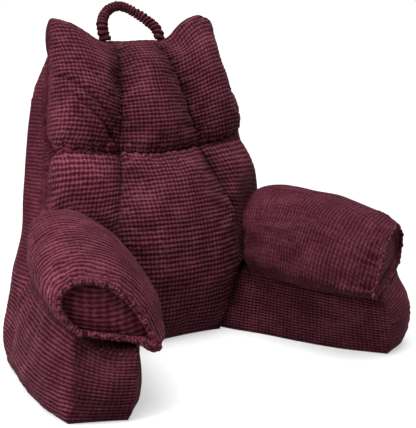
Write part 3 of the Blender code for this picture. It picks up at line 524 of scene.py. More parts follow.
def dressed(grid, outward, u, v, seed, seams=(), seam_rows=(), calm=1.0, gather=1.0, lumps=1.0,
            folds=0.0, sunk=SUNK):
    """A grid with the cloth's relief on it, which ends at the grid's edges and at its seams.

    seams are columns and seam_rows are rows along which it is sewn down."""
    across, up = runs(grid)
    from_seams = [np.abs(across - across[:, k:k + 1]) for k in seams]
    fade = calm * risen(to_edges(across, up) + from_seams, SEAM_FADE)
    height = RIB_HEIGHT * (ribs(u, v) - sunk)
    if lumps:
        height = height + lumps * LUMP_HEIGHT * waves(grid, LUMP_WAVES, seed)
    for n, (k, away) in enumerate(zip(seams, from_seams)):
        place = up[:, k:k + 1] + SIDES_APART * np.sign(np.arange(grid.shape[1]) - k)
        height = height + gather * GATHER_HEIGHT * gathers(place, away, seed + n + 1)
    for n, k in enumerate(seam_rows):
        away = np.abs(up - up[k:k + 1])
        bulge = away / SEAM_BULGE_REACH
        height = height + SEAM_BULGE * bulge * np.exp(1 - bulge)
        height = height + gather * GATHER_HEIGHT * gathers(across[k:k + 1], away, seed + n + 11)
    return grid + ((height + folds) * fade)[..., None] * normals(grid, outward)


def painted_shade_and_highlight(grid, seams=(), seam_rows=()):
    """Painted shade: darker along the seams, where the valleys fall in shadow, and a painted
    highlight in one patch.
    """
    across, up = runs(grid)
    shade = np.zeros(grid.shape[:2])
    for k in seams:
        shade = np.maximum(shade, np.exp(-np.abs(across - across[:, k:k + 1]) / VALLEY_REACH))
    for k in seam_rows:
        shade = np.maximum(shade, np.exp(-np.abs(up - up[k:k + 1]) / (0.5 * VALLEY_REACH)))
    patch = np.exp(-((grid[..., 0] - PAINTED_HIGHLIGHT_PATCH["x"]) / PAINTED_HIGHLIGHT_PATCH["reach"])**2
                   - ((grid[..., 2] - PAINTED_HIGHLIGHT_PATCH["z"]) / PAINTED_HIGHLIGHT_PATCH["reach"])**2)
    return VALLEY_PAINTED_SHADE * shade - PAINTED_HIGHLIGHT_PATCH["lighter"] * patch


# ---------- materials
class Graph:
    """The node tree of a material or a world, and short ways to add to it."""

    def __init__(self, owner):
        owner.use_nodes = True
        self.tree = owner.node_tree

    def put(self, made, inputs):
        """Links each of a node's named inputs to an output, or sets it to a constant."""
        for name, value in inputs.items():
            if isinstance(value, bpy.types.NodeSocket):
                self.tree.links.new(value, made.inputs[name])
            else:
                made.inputs[name].default_value = value

    def node(self, kind, inputs=None, **settings):
        """A new node with its inputs and settings."""
        made = self.tree.nodes.new("ShaderNode" + kind)
        for key, value in settings.items():
            setattr(made, key, value)
        self.put(made, inputs or {})
        return made

    def math(self, operation, a, b=0.0, clamp=False):
        return self.node("Math", {0: a, 1: b}, operation=operation, use_clamp=clamp).outputs[0]

    def plus(self, a, b):
        return self.math("ADD", a, b)

    def minus(self, a, b):
        return self.math("SUBTRACT", a, b)

    def times(self, a, b):
        return self.math("MULTIPLY", a, b)

    def swing(self, noise, far):
        """A noise turned into a swing about nought."""
        return self.times(self.minus(noise, 0.5), far)

    def toward(self, value, share, level):
        """A value moved by a share of the way to a fixed level."""
        return self.plus(self.times(value, self.minus(1.0, share)), self.times(share, level))

    def noise(self, scale, detail, roughness):
        where = self.node("TexCoord").outputs["Object"]
        inputs = {"Vector": where, "Scale": scale, "Detail": detail, "Roughness": roughness}
        return self.node("TexNoise", inputs).outputs["Fac"]

    def attribute(self, name):
        """The three parts of a point attribute."""
        values = self.node("Attribute", attribute_name=name).outputs["Vector"]
        return self.node("SeparateXYZ", {0: values}).outputs

    def mix(self, share, a, b):
        inputs = {"Factor": share, "A": a, "B": b}
        return self.node("Mix", inputs, data_type="RGBA").outputs["Result"]

    def ramp(self, value, low, high):
        inputs = {"Value": value, "From Min": low, "From Max": high}
        return self.node("MapRange", inputs, interpolation_type="SMOOTHSTEP").outputs["Result"]


# Scale, detail and roughness of each noise in the plush.
NOISES = {"fuzz": (430.0, 3.0, 0.75), "strands": (230.0, 2.0, 0.6), "tufts": (160.0, 2.0, 0.7),
          "clouds": (11.0, 3.0, 0.55), "sway": (52.0, 2.0, 0.6), "brush": (22.0, 3.0, 0.70)}
RIB_LINE = (0.10, 0.95)      # where the light of a rib starts and is full, from its groove
STRAY = 0.24                 # how far single strands stray from the lines of the waffle, in cells
WANDER = {"X": 0.85, "Y": 0.45}     # how far whole lines of the waffle stray, in cells
RIB_LIGHT, RIDGE_LIGHT = 0.56, 0.36
WORN_LEVEL, FADED_LEVEL = 0.35, 0.48    # light of worn ridges and of a faded waffle
BRUSHED = 0.34               # how far brushed pile hides the waffle in places
BRUSHED_FROM = (0.36, 0.78)
TERRY_FROM = (0.25, 0.70)
FUZZ_SPECK, TUFT_SPECK = 1.15, 0.55
TO_BODY, TO_CREST = (0.0, 0.55), (0.35, 1.15)
CLOUDED = 0.5
ROUGH_LEAST, ROUGH_FUZZ = 0.74, 0.2
BUMP_TOP, BUMP_FUZZ = 0.75, 0.55        # shares of the waffle and of the fuzz in the bumps
BUMP = {"Strength": 0.7, "Distance": 0.0011}
SURFACE = {"Specular IOR Level": 0.04, "Sheen Weight": 0.03, "Sheen Roughness": 0.40,
           "Sheen Tint": (0.80, 0.34, 0.44, 1.0)}
# The plush's colours: wine in the body, the pits darkened partly as painted shade, and the ribs
# paler and dustier partly as painted sheen; the handle's two likewise.
PIT_SHADE = (0.0088, 0.0003, 0.0017, 1.0)
WINE = (0.0245, 0.0028, 0.0066, 1.0)
DUSTY_SHEEN = (0.0700, 0.0190, 0.0275, 1.0)
HANDLE_WINE = (0.020, 0.0024, 0.0056, 1.0)
HANDLE_DUSTY_SHEEN = (0.062, 0.0155, 0.0235, 1.0)


def waffle_light(g, noises, faded):
    """How light the waffle is, from 0 in its pits to 1 where a rib and a ridge cross."""
    weave = g.attribute("weave")
    strands, sway = noises["strands"], g.noise(*NOISES["sway"])
    edges = {}
    for axis, wander in WANDER.items():
        wobble = g.plus(g.swing(strands, STRAY), g.swing(sway, wander))
        place = g.math("FRACT", g.plus(weave[axis], wobble))
        edges[axis] = g.math("ABSOLUTE", g.minus(g.times(place, 2.0), 1.0))
    across = g.toward(g.ramp(edges["X"], *RIB_LINE), weave["Z"], WORN_LEVEL)
    rib = g.ramp(g.minus(1.0, edges["Y"]), *RIB_LINE)
    brushed = g.times(g.ramp(g.noise(*NOISES["brush"]), *BRUSHED_FROM), BRUSHED)
    top = g.plus(g.plus(g.times(rib, RIB_LIGHT), g.times(across, RIDGE_LIGHT)), brushed)
    return g.toward(top, faded, FADED_LEVEL)


def plush(name, body, crest, waffle=True):
    """Plush: dark in the waffle's pits, partly as painted shade, paler and dustier along its ribs,
    partly as painted sheen.
    """
    material = bpy.data.materials.new(name)
    g = Graph(material)
    noises = {k: g.noise(*NOISES[k]) for k in ("fuzz", "strands", "tufts", "clouds")}
    nap = g.attribute("nap")
    top = waffle_light(g, noises, nap["X"]) if waffle else g.ramp(noises["strands"], *TERRY_FROM)
    speck = g.plus(g.swing(noises["fuzz"], FUZZ_SPECK), g.swing(noises["tufts"], TUFT_SPECK))
    share = g.math("ADD", top, speck, clamp=True)
    # The pits take the darker colour as painted shade and the ribs the paler one as painted sheen,
    # over the waffle's own pattern.
    colour = g.mix(g.ramp(share, *TO_BODY), PIT_SHADE, body)
    colour = g.mix(g.ramp(share, *TO_CREST), colour, crest)
    # Random cloudy tone, less the painted shade, or plus the painted highlight where that is
    # negative.
    light = g.minus(g.plus(g.swing(noises["clouds"], CLOUDED), 1.0), nap["Y"])
    height = g.plus(g.times(top, BUMP_TOP), g.times(noises["fuzz"], BUMP_FUZZ))
    g.put(g.tree.nodes["Principled BSDF"], {
        "Base Color": g.node("HueSaturation", {"Value": light, "Color": colour}).outputs[0],
        "Roughness": g.plus(g.times(noises["fuzz"], ROUGH_FUZZ), ROUGH_LEAST),
        "Normal": g.node("Bump", {**BUMP, "Height": height}).outputs["Normal"],
        **SURFACE,
    })
    return material


COVER = plush("waffle_plush", WINE, DUSTY_SHEEN)
HEM = plush("terry_hem", WINE, DUSTY_SHEEN, waffle=False)
TIGHT = plush("handle_plush", HANDLE_WINE, HANDLE_DUSTY_SHEEN)


# ---------- the back's planes
def on_back(x, z, depth=0.0):
    """The point of the back's plane at x and z, raised off it by depth."""
    normal = unit((0.0, -1.0, LEAN))
    x, z, depth = np.broadcast_arrays(x, z, depth)
    return np.stack([x, FOOT_Y + LEAN * z, z], axis=-1) + depth[..., None] * normal


def rear_of(points):
    """The points of the back's rear that lie behind the given ones of its front."""
    thickness = smooth(BACK_THICKNESS["z"], BACK_THICKNESS["t"], points[:, 2])
    rear = points.copy()
    wide = smooth(REAR_FLARE["z"], REAR_FLARE["wide"], points[:, 2])
    rear[:, 0] += wide * points[:, 0] / SIDE_SEAM["x"][-1]
    rear[:, 1] = FOOT_Y + LEAN * points[:, 2] + thickness
    return rear


def perch(x, y):
    """Height of the plane on which a bolster lies, on either side."""
    return PERCH_Z + PERCH_RISE_OUT * np.abs(x) + PERCH_RISE_BACK * y


def bed(x, z):
    """Y of the plane on which a bolster's rear end presses into the lumbar cushion."""
    return BED_Y + BED_TURN * np.abs(x) + LEAN * z


# ---------- the two cushions
TO_FRONT = (0, -1, 0.3)
CUSHION_CLOTH = (0.030, 2.0)    # spare length and pressure in the simulation
DIP = 0.0085                # how far the top between the ears has sunk under the handle
DIP_FROM = 0.54             # height at which that starts
DIP_INNER, DIP_OUTER = 0.075, 0.140     # X from which it fades, and where it ends
SCALLOP = 0.0016            # how far the seam between the cushions waves up and down
SCALLOP_REACH = 0.010
SCALLOP_WAVES = (0.013, 0.017, 0.022)
SCALLOP_MORE = 0.06, 1.2    # on -X: distance from the middle where it gets deeper, and how much
EAR_RAISE = 0.007           # how much higher the ear on +X stands than its mirror image
EAR_WIDER = 0.008           # how much further out its side stands
EAR_FROM, EAR_RUN = 0.52, 0.08          # height from which the ear has moved, and over which
EAR_WIDE = 0.17
EAR_INNER, EAR_INNER_RUN = 0.09, 0.05   # X from which it stands higher, and over which
EAR_TIP = (0.178, 0.622)    # where its corner is rounded off, how far, and its reach
EAR_TIP_PULL, EAR_TIP_REACH = 0.0065, 0.011
EAR_TIP_WAY = (0.7, 0.8)    # shares of that pull inwards and downwards
HEAD_GATHER = 1.2
SIDE_OPENS = 13 / 3         # how fast the lumbar side channels open up above the fork
PRESS_ROUND = 0.009         # over how much the cushion turns into the flat that the bolster makes
FOLD_BOW = 0.004            # how far each fold bows aside
RIM_SHADOW_V, RIM_PLAIN = 0.14, 0.5    # painted shadow: the rims' weave coordinates sit near a groove, so they are painted dark
HEAD_RIM, LUMBAR_RIM = 0.0016, 0.0012


def shares(count):
    """From 0 to 1 in count equal steps."""
    return np.linspace(0, 1, count + 1)


def part(table, start=None, stop=None):
    """The rows of a table of x and z from start up to stop."""
    return {k: table[k][start:stop] for k in "xz"}


def flat_curve(table, count):
    """A curve on the back's plane from a table of x and z."""
    points = np.stack([table["x"], np.zeros(len(table["x"])), table["z"]], axis=1)
    return along(points, count)


def inner_profile(u, seam, crest):
    """Depth from a channel's crest, where u is 0, to its inner seam, where u is 1."""
    return seam + (crest - seam) * (1 - u**INNER_ROUND) ** FLANK


def channel_profile(u, seam, crest, edge):
    """Depth across a side channel: from its inner seam over the crest to the outer edge."""
    rise = inner_profile(np.clip((CREST - u) / CREST, 0, 1), seam, crest)
    outer = np.clip((u - CREST) / (1 - CREST), 0, 1)
    fall = edge + (crest - edge) * (1 - outer**OUTER_ROUND) ** CREASE
    return np.where(u < CREST, rise, fall)


def join(inner, outer):
    """Two grids side by side that share a column."""
    return np.concatenate([inner, outer[:, 1:]], axis=1)


def dipped(points):
    """The points near the top of the back let down between the ears."""
    up = eased((points[..., 2] - DIP_FROM) / (TOP_SEAM["z"][0] - DIP_FROM))
    out = eased((np.abs(points[..., 0]) - DIP_INNER) / (DIP_OUTER - DIP_INNER))
    lowered = points.copy()
    lowered[..., 2] -= DIP * up * (1 - out)
    return lowered


def scalloped(flat):
    """Waves the seam between the cushions up and down, further on the side of -X."""
    x, z = flat[..., 0], flat[..., 2]
    seam = smooth(ROW_SEAM["x"], ROW_SEAM["z"], np.minimum(np.abs(x), ROW_SEAM["x"][-1]))
    start, most = SCALLOP_MORE
    height = SCALLOP * (1 + np.clip((-start - x) / start, 0, most))
    wave = waves(x[..., None], SCALLOP_WAVES, 71)
    waved = flat.copy()
    waved[..., 2] = z + height * wave * np.exp(-np.abs(z - seam) / SCALLOP_REACH)
    return waved


def lift(flat, depth):
    """Raises flat points off the back's plane, straight forwards near the floor."""
    tilt = np.arctan(LEAN) * np.clip(flat[..., 2] / STRAIGHT_UNTIL, 0, 1)
    lifted = flat.copy()
    lifted[..., 1] = FOOT_Y + LEAN * flat[..., 2] - depth * np.cos(tilt)
    lifted[..., 2] = flat[..., 2] + depth * np.sin(tilt)
    return lifted


def rounded_ear(flat):
    """Widens and rounds the tip of the ear on +X, which has slumped outwards."""
    x, z = flat[..., 0], flat[..., 2]
    share = np.clip((z - EAR_FROM) / EAR_RUN, 0, 1)
    shaped = flat.copy()
    shaped[..., 0] += EAR_WIDER * eased(share) * np.clip(x / EAR_WIDE, 0, 1) ** 2
    corner = np.hypot(shaped[..., 0] - EAR_TIP[0], z - EAR_TIP[1])
    pull = EAR_TIP_PULL * np.exp(-(corner / EAR_TIP_REACH) ** 2)
    shaped[..., 0] -= EAR_TIP_WAY[0] * pull
    higher = np.clip((x - EAR_INNER) / EAR_INNER_RUN, 0, 1)
    shaped[..., 2] += EAR_RAISE * share**2 * higher - EAR_TIP_WAY[1] * pull
    return shaped


def row_seam_depth(x):
    """How far the row seam stands off the back's plane."""
    return smooth(ROW_SEAM_DEPTH["x"], ROW_SEAM_DEPTH["d"], np.abs(x))


# Folds in the cushions: x and z of the two ends on the back's plane, width and height.
FOLDS = (
    (-0.176, 0.462, -0.098, 0.374, 0.0036, -0.0068),
    (-0.170, 0.469, -0.091, 0.381, 0.0062, 0.0048),
    (-0.184, 0.454, -0.106, 0.368, 0.0062, 0.0030),
    (-0.195, 0.510, -0.112, 0.418, 0.0034, -0.0050),
    (-0.189, 0.517, -0.105, 0.425, 0.0062, 0.0036),
    (-0.150, 0.522, -0.098, 0.450, 0.0034, -0.0036),
    (-0.188, 0.440, -0.148, 0.396, 0.0034, -0.0036),
    (0.120, 0.450, 0.190, 0.400, 0.011, 0.0028),
    (0.060, 0.250, 0.118, 0.215, 0.010, 0.0030),
    (0.150, 0.310, 0.128, 0.240, 0.009, 0.0030),
    (-0.100, 0.180, -0.030, 0.160, 0.012, 0.0028),
    (-0.075, 0.120, 0.020, 0.135, 0.012, 0.0024),
    (0.030, 0.095, 0.095, 0.120, 0.010, 0.0026),
    (-0.205, 0.330, -0.150, 0.300, 0.010, 0.0026),
)


def folded(flat):
    """Height of the folds at flat points."""
    height = 0.0
    for x0, z0, x1, z1, width, rise in FOLDS:
        run = np.hypot(x1 - x0, z1 - z0)
        ahead = ((flat[..., 0] - x0) * (x1 - x0) + (flat[..., 2] - z0) * (z1 - z0)) / run
        beside = ((flat[..., 0] - x0) * (z1 - z0) - (flat[..., 2] - z0) * (x1 - x0)) / run
        beside = beside + FOLD_BOW * np.sin(ahead / run * np.pi)
        past = np.maximum(0, np.abs(ahead - run / 2) - run / 3) / (run / 5)
        height = height + rise * np.exp(-(beside / width) ** 2 - past**2)
    return height


def edge_of(grid):
    """The points on a grid's four edges, once around."""
    return np.concatenate([grid[0], grid[1:, -1], grid[-1, -2::-1], grid[-2:0:-1, 0]])


def rim(cover, front, behind, bulge, count=4):
    """Closes a cushion's edge between its front and back with a soft round strip."""
    front, behind = (np.concatenate([edge, edge[:1]]) for edge in (front, behind))
    share = shares(count)[None, :, None]
    strip = front[:, None] * (1 - share) + behind[:, None] * share
    run = np.gradient(front, axis=0)
    run[0] = run[-1] = run[0] + run[-1]
    facing = unit(np.cross(behind - front, run))
    if ((front - front.mean(axis=0)) * facing).sum(axis=1).mean() < 0:
        facing = -facing
    # The strip's weave coordinates put it in a groove, so it takes the dark colour as painted
    # shadow.
    cover.add(strip + bulge * np.sin(np.pi * share) * facing[:, None], 0.5, RIM_SHADOW_V, RIM_PLAIN)


def head_cushion():
    """The upper cushion: a middle channel between two that rise into ears."""
    fork = HEAD_TOP["x"].index(HEAD_CHANNEL["x"][-1])
    low = ROW_SEAM["x"].index(HEAD_CHANNEL["x"][0])
    low_middle = flat_curve(part(ROW_SEAM, stop=low + 1), HEAD_MIDDLE)
    top_middle = flat_curve(part(HEAD_TOP, stop=fork + 1), HEAD_MIDDLE)
    low_side = flat_curve(part(ROW_SEAM, low), HEAD_OUTER)
    top_side = flat_curve(part(HEAD_TOP, fork), HEAD_OUTER)
    channel = flat_curve(HEAD_CHANNEL, HEAD_ROWS)
    spine = straight(low_middle[0], top_middle[0], HEAD_ROWS)
    middle = fill(low_middle, top_middle, spine, channel)
    outer = fill(low_side, top_side, channel, flat_curve(HEAD_SIDE, HEAD_ROWS))
    seam, crown, crest = (smooth(HEAD_DEPTH["v"], HEAD_DEPTH[k], shares(HEAD_ROWS)[:, None])
                          for k in ("seam", "middle", "side"))
    middle_depth = inner_profile(shares(HEAD_MIDDLE), seam, crown)
    u = shares(HEAD_OUTER)
    side_depth = channel_profile(u, seam, crest, SEAM_EDGE)
    outer[1:, :, 0] += SIDE_OVERHANG * np.sin(np.pi * u**4)
    for depth, flat in ((middle_depth, middle), (side_depth, outer)):
        depth[0] = row_seam_depth(flat[0, :, 0])
        depth[-1] = SEAM_EDGE
    side_depth[:, -1] = SEAM_EDGE
    flat = join(middle, outer)
    flat[0, :, 2] += ROW_CLEAR
    flat = scalloped(rounded_ear(both(flat)))
    front = dipped(lift(flat, both(join(middle_depth, side_depth))))
    top = np.interp(np.abs(flat[..., 0]), TOP_SEAM["x"], TOP_SEAM["z"])
    ear = eased((flat[..., 2] - top - EAR_START) / EAR_REACH)
    behind = dipped(lift(flat, GAP - EAR_PUFF * ear))

    seams = (HEAD_OUTER, HEAD_OUTER + 2 * HEAD_MIDDLE)
    front = settled(front, sewn(front, seams), *CUSHION_CLOTH)
    cover = Cover()
    # valleys=True paints shade along the seams, and the highlight patch where it reaches.
    shown, u, v = cover.clothe(front, TO_FRONT, 21, HEAD_OUTER + HEAD_MIDDLE, valleys=True,
                               seams=seams, seam_rows=(0,), gather=HEAD_GATHER, folds=folded(flat))
    back = dressed(behind, (0, 1, 0), u, v, 22, calm=ear, gather=0.0)
    cover.add(back, u, v)
    rim(cover, edge_of(shown), edge_of(back), HEAD_RIM)
    cover.build("head_cushion_cover", "head_cushion", "cover", COVER, 0.8)


def pressed_to(points):
    """How far forwards the bolster's rear end lets the given points of the cushion come."""
    x, z = np.abs(points[..., 0]), points[..., 2]
    outside = np.hypot((x - BED_OVAL["x"]) / BED_OVAL["wide"],
                       (z - BED_OVAL["z"]) / BED_OVAL["high"]) - 1
    return bed(x, z) - BED_SLOPE * np.maximum(outside, 0)


def pressed(depth, limit):
    """The cushion's depths kept behind the limit, with a soft edge round the pressed flat."""
    return 0.5 * (depth + limit + np.hypot(depth - limit, PRESS_ROUND))


def lumbar_depth(column, flat):
    """A column of the lumbar cushion's depths, read at the heights of flat points."""
    height = np.minimum(flat[..., 2], LUMBAR_DEPTH["z"][-1])
    return smooth(LUMBAR_DEPTH["z"], LUMBAR_DEPTH[column], height)


def lumbar_cushion():
    """The lower cushion: its middle channel widens downwards and stands between the arms."""
    low = ROW_SEAM["x"].index(LUMBAR_CHANNEL["x"][-1])
    channel_low = flat_curve(part(LUMBAR_CHANNEL, stop=LUMBAR_FORK + 1), LUMBAR_LOW)
    channel_up = flat_curve(part(LUMBAR_CHANNEL, LUMBAR_FORK), LUMBAR_HIGH)
    edge = np.concatenate([channel_low, channel_up[1:]])
    top_middle = flat_curve(part(ROW_SEAM, stop=low + 1), LUMBAR_MIDDLE)
    top_side = flat_curve(part(ROW_SEAM, low), LUMBAR_OUTER)
    bottom = straight((0, 0, 0), edge[0], LUMBAR_MIDDLE)
    spine = straight(bottom[0], top_middle[0], LUMBAR_LOW + LUMBAR_HIGH)
    middle = fill(bottom, top_middle, spine, edge)
    start = np.repeat(channel_up[:1], LUMBAR_OUTER + 1, axis=0)
    outer = fill(start, top_side, channel_up, flat_curve(LUMBAR_SIDE, LUMBAR_HIGH))

    seam = lumbar_depth("seam", edge)[:, None]
    crown = lumbar_depth("middle", spine)[:, None]
    middle_depth = inner_profile(shares(LUMBAR_MIDDLE), seam, crown)
    seam = seam[LUMBAR_LOW:]
    open_up = np.clip(SIDE_OPENS * shares(LUMBAR_HIGH), 0, 1)[:, None]
    side_edge = seam[0] + (SEAM_EDGE - seam[0]) * open_up
    crest = seam + (lumbar_depth("side", channel_up)[:, None] - seam) * open_up
    side_depth = channel_profile(shares(LUMBAR_OUTER), seam, crest, side_edge)
    for depth, flat in ((middle_depth, middle), (side_depth, outer)):
        depth[-1] = row_seam_depth(flat[-1, :, 0]) - 2 * GAP
    squeeze = LUMBAR_SQUEEZE * np.clip(1 - edge[:, 2] / LUMBAR_SQUEEZE_TOP, 0, 1)
    spread = squeeze[:, None] * np.linspace(-1, 1, 2 * LUMBAR_MIDDLE + 1)

    # Each panel: flat points, depths, push sideways, seed, middle column, first rib and seams.
    panels = {
        "middle": (both(middle), both(middle_depth), spread, 31, LUMBAR_MIDDLE, 0,
                   (0, 2 * LUMBAR_MIDDLE)),
        "right": (outer, side_depth, 0.0, 34, 0, LUMBAR_LOW, (0,)),
        "left": (outer * MIRROR, side_depth, 0.0, 32, 0, LUMBAR_LOW, (0,)),
    }
    cover, edges = Cover(), {}
    for name, (flat, depth, push, seed, centre, first, seams) in panels.items():
        flat = scalloped(flat)
        front = lift(flat, depth)
        front[..., 0] += push
        limit = pressed_to(front)
        calm = np.clip((front[..., 1] - limit) / PRESS_ROUND, 0, 1)
        front[..., 1] = pressed(front[..., 1], limit)
        front = settled(front, sewn(front) | (calm < 0.5), *CUSHION_CLOTH)
        # valleys=True paints shade along the seams, and the highlight patch on the left channel.
        shown, _, _ = cover.clothe(front, TO_FRONT, seed, centre, first, valleys=True, seams=seams,
                                   seam_rows=(len(front) - 1,), calm=calm, folds=folded(flat))
        edges[name] = (shown, lift(flat, GAP))

    def around(k):
        middle, right, left = (edges[name][k] for name in ("middle", "right", "left"))
        return np.concatenate([middle[0], middle[1:LUMBAR_LOW + 1, -1], right[1:, -1],
                               right[-1, -2::-1], middle[-1, -2::-1], left[-1, 1:],
                               left[-2:0:-1, -1], middle[LUMBAR_LOW:0:-1, 0]])

    rim(cover, around(0), around(1), LUMBAR_RIM)
    cover.outline(around(1))
    cover.build("lumbar_cushion_cover", "lumbar_cushion", "cover", COVER, 0.85)


# ---------- the bolsters
# What differs between the two: how far it lies outwards and backwards, its faces along, the
# pitch of its ribs from rear to cap against one another, how high they stand, the puckers at
# its cap and their reach, how far its ridges have worn and its waffle has faded, its painted
# shade on the crown and how much more at the foot, its painted shade on the cap (painted
# highlights where these are negative), how far its front end has turned outwards, how far its
# inner side is drawn up from where it would hang past the arm, the radius of its rolled seam
# and how high a pinched tip of that stands.
BOLSTERS = {
    "arm_bolster_left": {
        "set": (0.004, -0.004), "rows": 33 * SAMPLES,
        "spread": (0.85, 1.10, 1.25, 1.15, 1.0, 0.90, 0.85), "rib_depth": 1.20,
        "pucker": 1.1, "pucker_reach": 0.014, "worn": 0.75, "faded": 0.05,
        "shade": (-0.02, -0.08), "cap_painted_shade": -0.14, "turned": 0.0, "drawn_up": 0.0,
        "hem": 0.0054, "tip": 0.0,
    },
    "arm_bolster_right": {
        "set": (-0.013, 0.004), "rows": 49 * SAMPLES,
        "spread": (1.0, 1.0), "rib_depth": 0.75,
        "pucker": 2.6, "pucker_reach": 0.028, "worn": 0.35, "faded": 0.42,
        "shade": (0.06, 0.32), "cap_painted_shade": 0.0, "turned": 0.020, "drawn_up": 0.017,
        "hem": 0.0030, "tip": 0.009,
    },
}
BOLSTER_OVER = 120          # faces over the top of each section, and along its flat bottom
BOLSTER_UNDER = 40
CROWN = BOLSTER_OVER // 2
STATIONS = 45
BOLSTER_CLOTH = (0.022, 1.6)
BOLSTER_LUMPS = 1.3
ARM_CALM, BED_CALM = 0.006, 0.004   # distances over which the relief fades where it lies on
END_TURN_REACH = 0.45       # share of the bolster's length over which it turns
END_TURN_SLOPE = 1.7        # how far across it turns against the pull on its inner edge
END_TURN_START = 1.5        # how gently the turn starts
CAP_SHARE, CAP_INSET = 0.88, 0.010
CAP_COLUMN_PITCH = 0.0135
CAP_SAG, CAP_BELLY = 0.010, 0.006       # how far its ribs sag and how far it swells
CAP_TIP, CAP_WIDE = 0.03, 0.05          # height and width at which it has swollen fully
CAP_PLAIN, CAP_FADED = 0.25, 0.35
HEM_SIDES, HEM_POINTS = 14, 540
HEM_PLEAT = 0.0054          # from one small pleat of the rolled seam to the next
HEM_RUFFLE = 0.06           # how much its radius ruffles
HEM_WAVES = (9, 14, 22, 37)     # ruffles on the way round
HEM_WAVES_SIZE = 2.2
PLEAT_STRAY, PLEAT_TWIST = 1.3, 0.5
HEM_LOOPS = (0.055, 0.02, 0.012)    # share of the radius in pleats, small loops and fuzz
HEM_INSET = 0.85            # how far the tube lies inside the cap's edge, in radii
HEM_OUT = 0.0012            # how far it stands in front of the cap's edge
BLOB_REACH, BLOB_GROW = 0.018, 0.9  # how it swells at the inner corner, where its ends meet
TIP_PLACE, TIP_REACH = 0.43, 0.016  # a pinched tip, as shares of the way round from there


def d_ring(row, outwards):
    """One section of a bolster from a row of its table, as a closed ring."""
    width = row["x_out"] - row["x_in"]
    share = np.array(D_SECTION["a"])
    height = (row["full"] * np.array(D_SECTION["body"])
              + (1 - row["full"]) * np.array(D_SECTION["cap"]))
    share = share + (row["lean"] - share[height.argmax()]) * 4 * share * (1 - share)
    x = row["x_in"] + width * share + outwards
    rise = height * row["crown"]
    y = row["y"] + row["turn"] * width * (share - 0.5)
    y = y + row["tip"] * (perch(x, y) + rise - TIP_Z)
    over = along(np.stack([x, y, perch(x, y) + rise], axis=1), BOLSTER_OVER)
    ring = np.concatenate([over, straight(over[-1], over[0], BOLSTER_UNDER)[1:-1]])
    ring[:, 2] = np.maximum(sagged(ring, row["crown"]), lowest(ring))
    return ring


def hangs(ring):
    """From 0 on the arm to 1 well past its inner edge, for a bolster's points."""
    edge = np.interp(-ring[..., 1], -np.array(ARM_TOP_IN["y"]), ARM_TOP_IN["x"])
    return np.clip((edge - ring[..., 0]) / DROOP_REACH, 0, 1)


def lowest(ring):
    """The least height that the arm leaves to a bolster's points."""
    return perch(ring[..., 0], ring[..., 1]) + GAP - DROOP * hangs(ring)


def sagged(ring, crown):
    """Heights of a section's points once its inner side has sagged."""
    top = perch(ring[:, 0], ring[:, 1]) + GAP
    return ring[:, 2] - DROOP * hangs(ring) * np.clip(1 - (ring[:, 2] - top) / crown, 0, 1)


def kept_clear(rings):
    """The rings, pressed flat where they meet the lumbar cushion and the arm."""
    rings[..., 1] = np.minimum(rings[..., 1], bed(rings[..., 0], rings[..., 2]) - GAP)
    rings[..., 2] = np.maximum(rings[..., 2], lowest(rings))
    return rings


def turned_end(rings, far):
    """The rings with the front end's inner edge pulled forwards and its outer edge back."""
    station = np.linspace(0, 1, len(rings))
    share = np.clip((station - 1 + END_TURN_REACH) / END_TURN_REACH, 0, 1)[:, None] ** END_TURN_START
    x = rings[..., 0]
    inner, outer = x.min(axis=1, keepdims=True), x.max(axis=1, keepdims=True)
    turned = rings.copy()
    turned[..., 1] -= far * share * (1 - END_TURN_SLOPE * (x - inner) / (outer - inner))
    return turned


def drawn_up(rings, far):
    """The rings with the lower edge of the inner side drawn up."""
    above = rings[..., 2] - perch(rings[..., 0], rings[..., 1])
    low = np.clip(1 - above / above.max(axis=1, keepdims=True), 0, 1)
    lifted = rings.copy()
    lifted[..., 2] += far * hangs(rings) * low
    return lifted


def bolster_rings(kind, fine=200):
    """A bolster's sections from its rear end to its cap, spaced as its ribs are."""
    outwards, backwards = kind["set"]
    stations = np.linspace(0, 1, STATIONS)
    knots = np.linspace(0, 1, len(BOLSTER["y"]))
    rows = [{k: float(smooth(knots, BOLSTER[k], s)) for k in BOLSTER} for s in stations]
    for row, station in zip(rows, stations):
        row["y"] += backwards * station
    coarse = np.array([d_ring(row, outwards) for row in rows])
    run = lengths(coarse[:, CROWN])
    knots = np.linspace(0, 1, len(kind["spread"]))
    widths = smooth(knots, kind["spread"], np.linspace(0, 1, fine))
    places = np.concatenate([[0], np.cumsum(0.5 * (widths[1:] + widths[:-1]))])
    places = places / places[-1] * run[-1]
    steps = np.linspace(0, fine - 1, kind["rows"] + 1)
    rings = smooth(run, coarse, np.interp(steps, np.arange(fine), places))
    return kept_clear(drawn_up(turned_end(rings, kind["turned"]), kind["drawn_up"]))


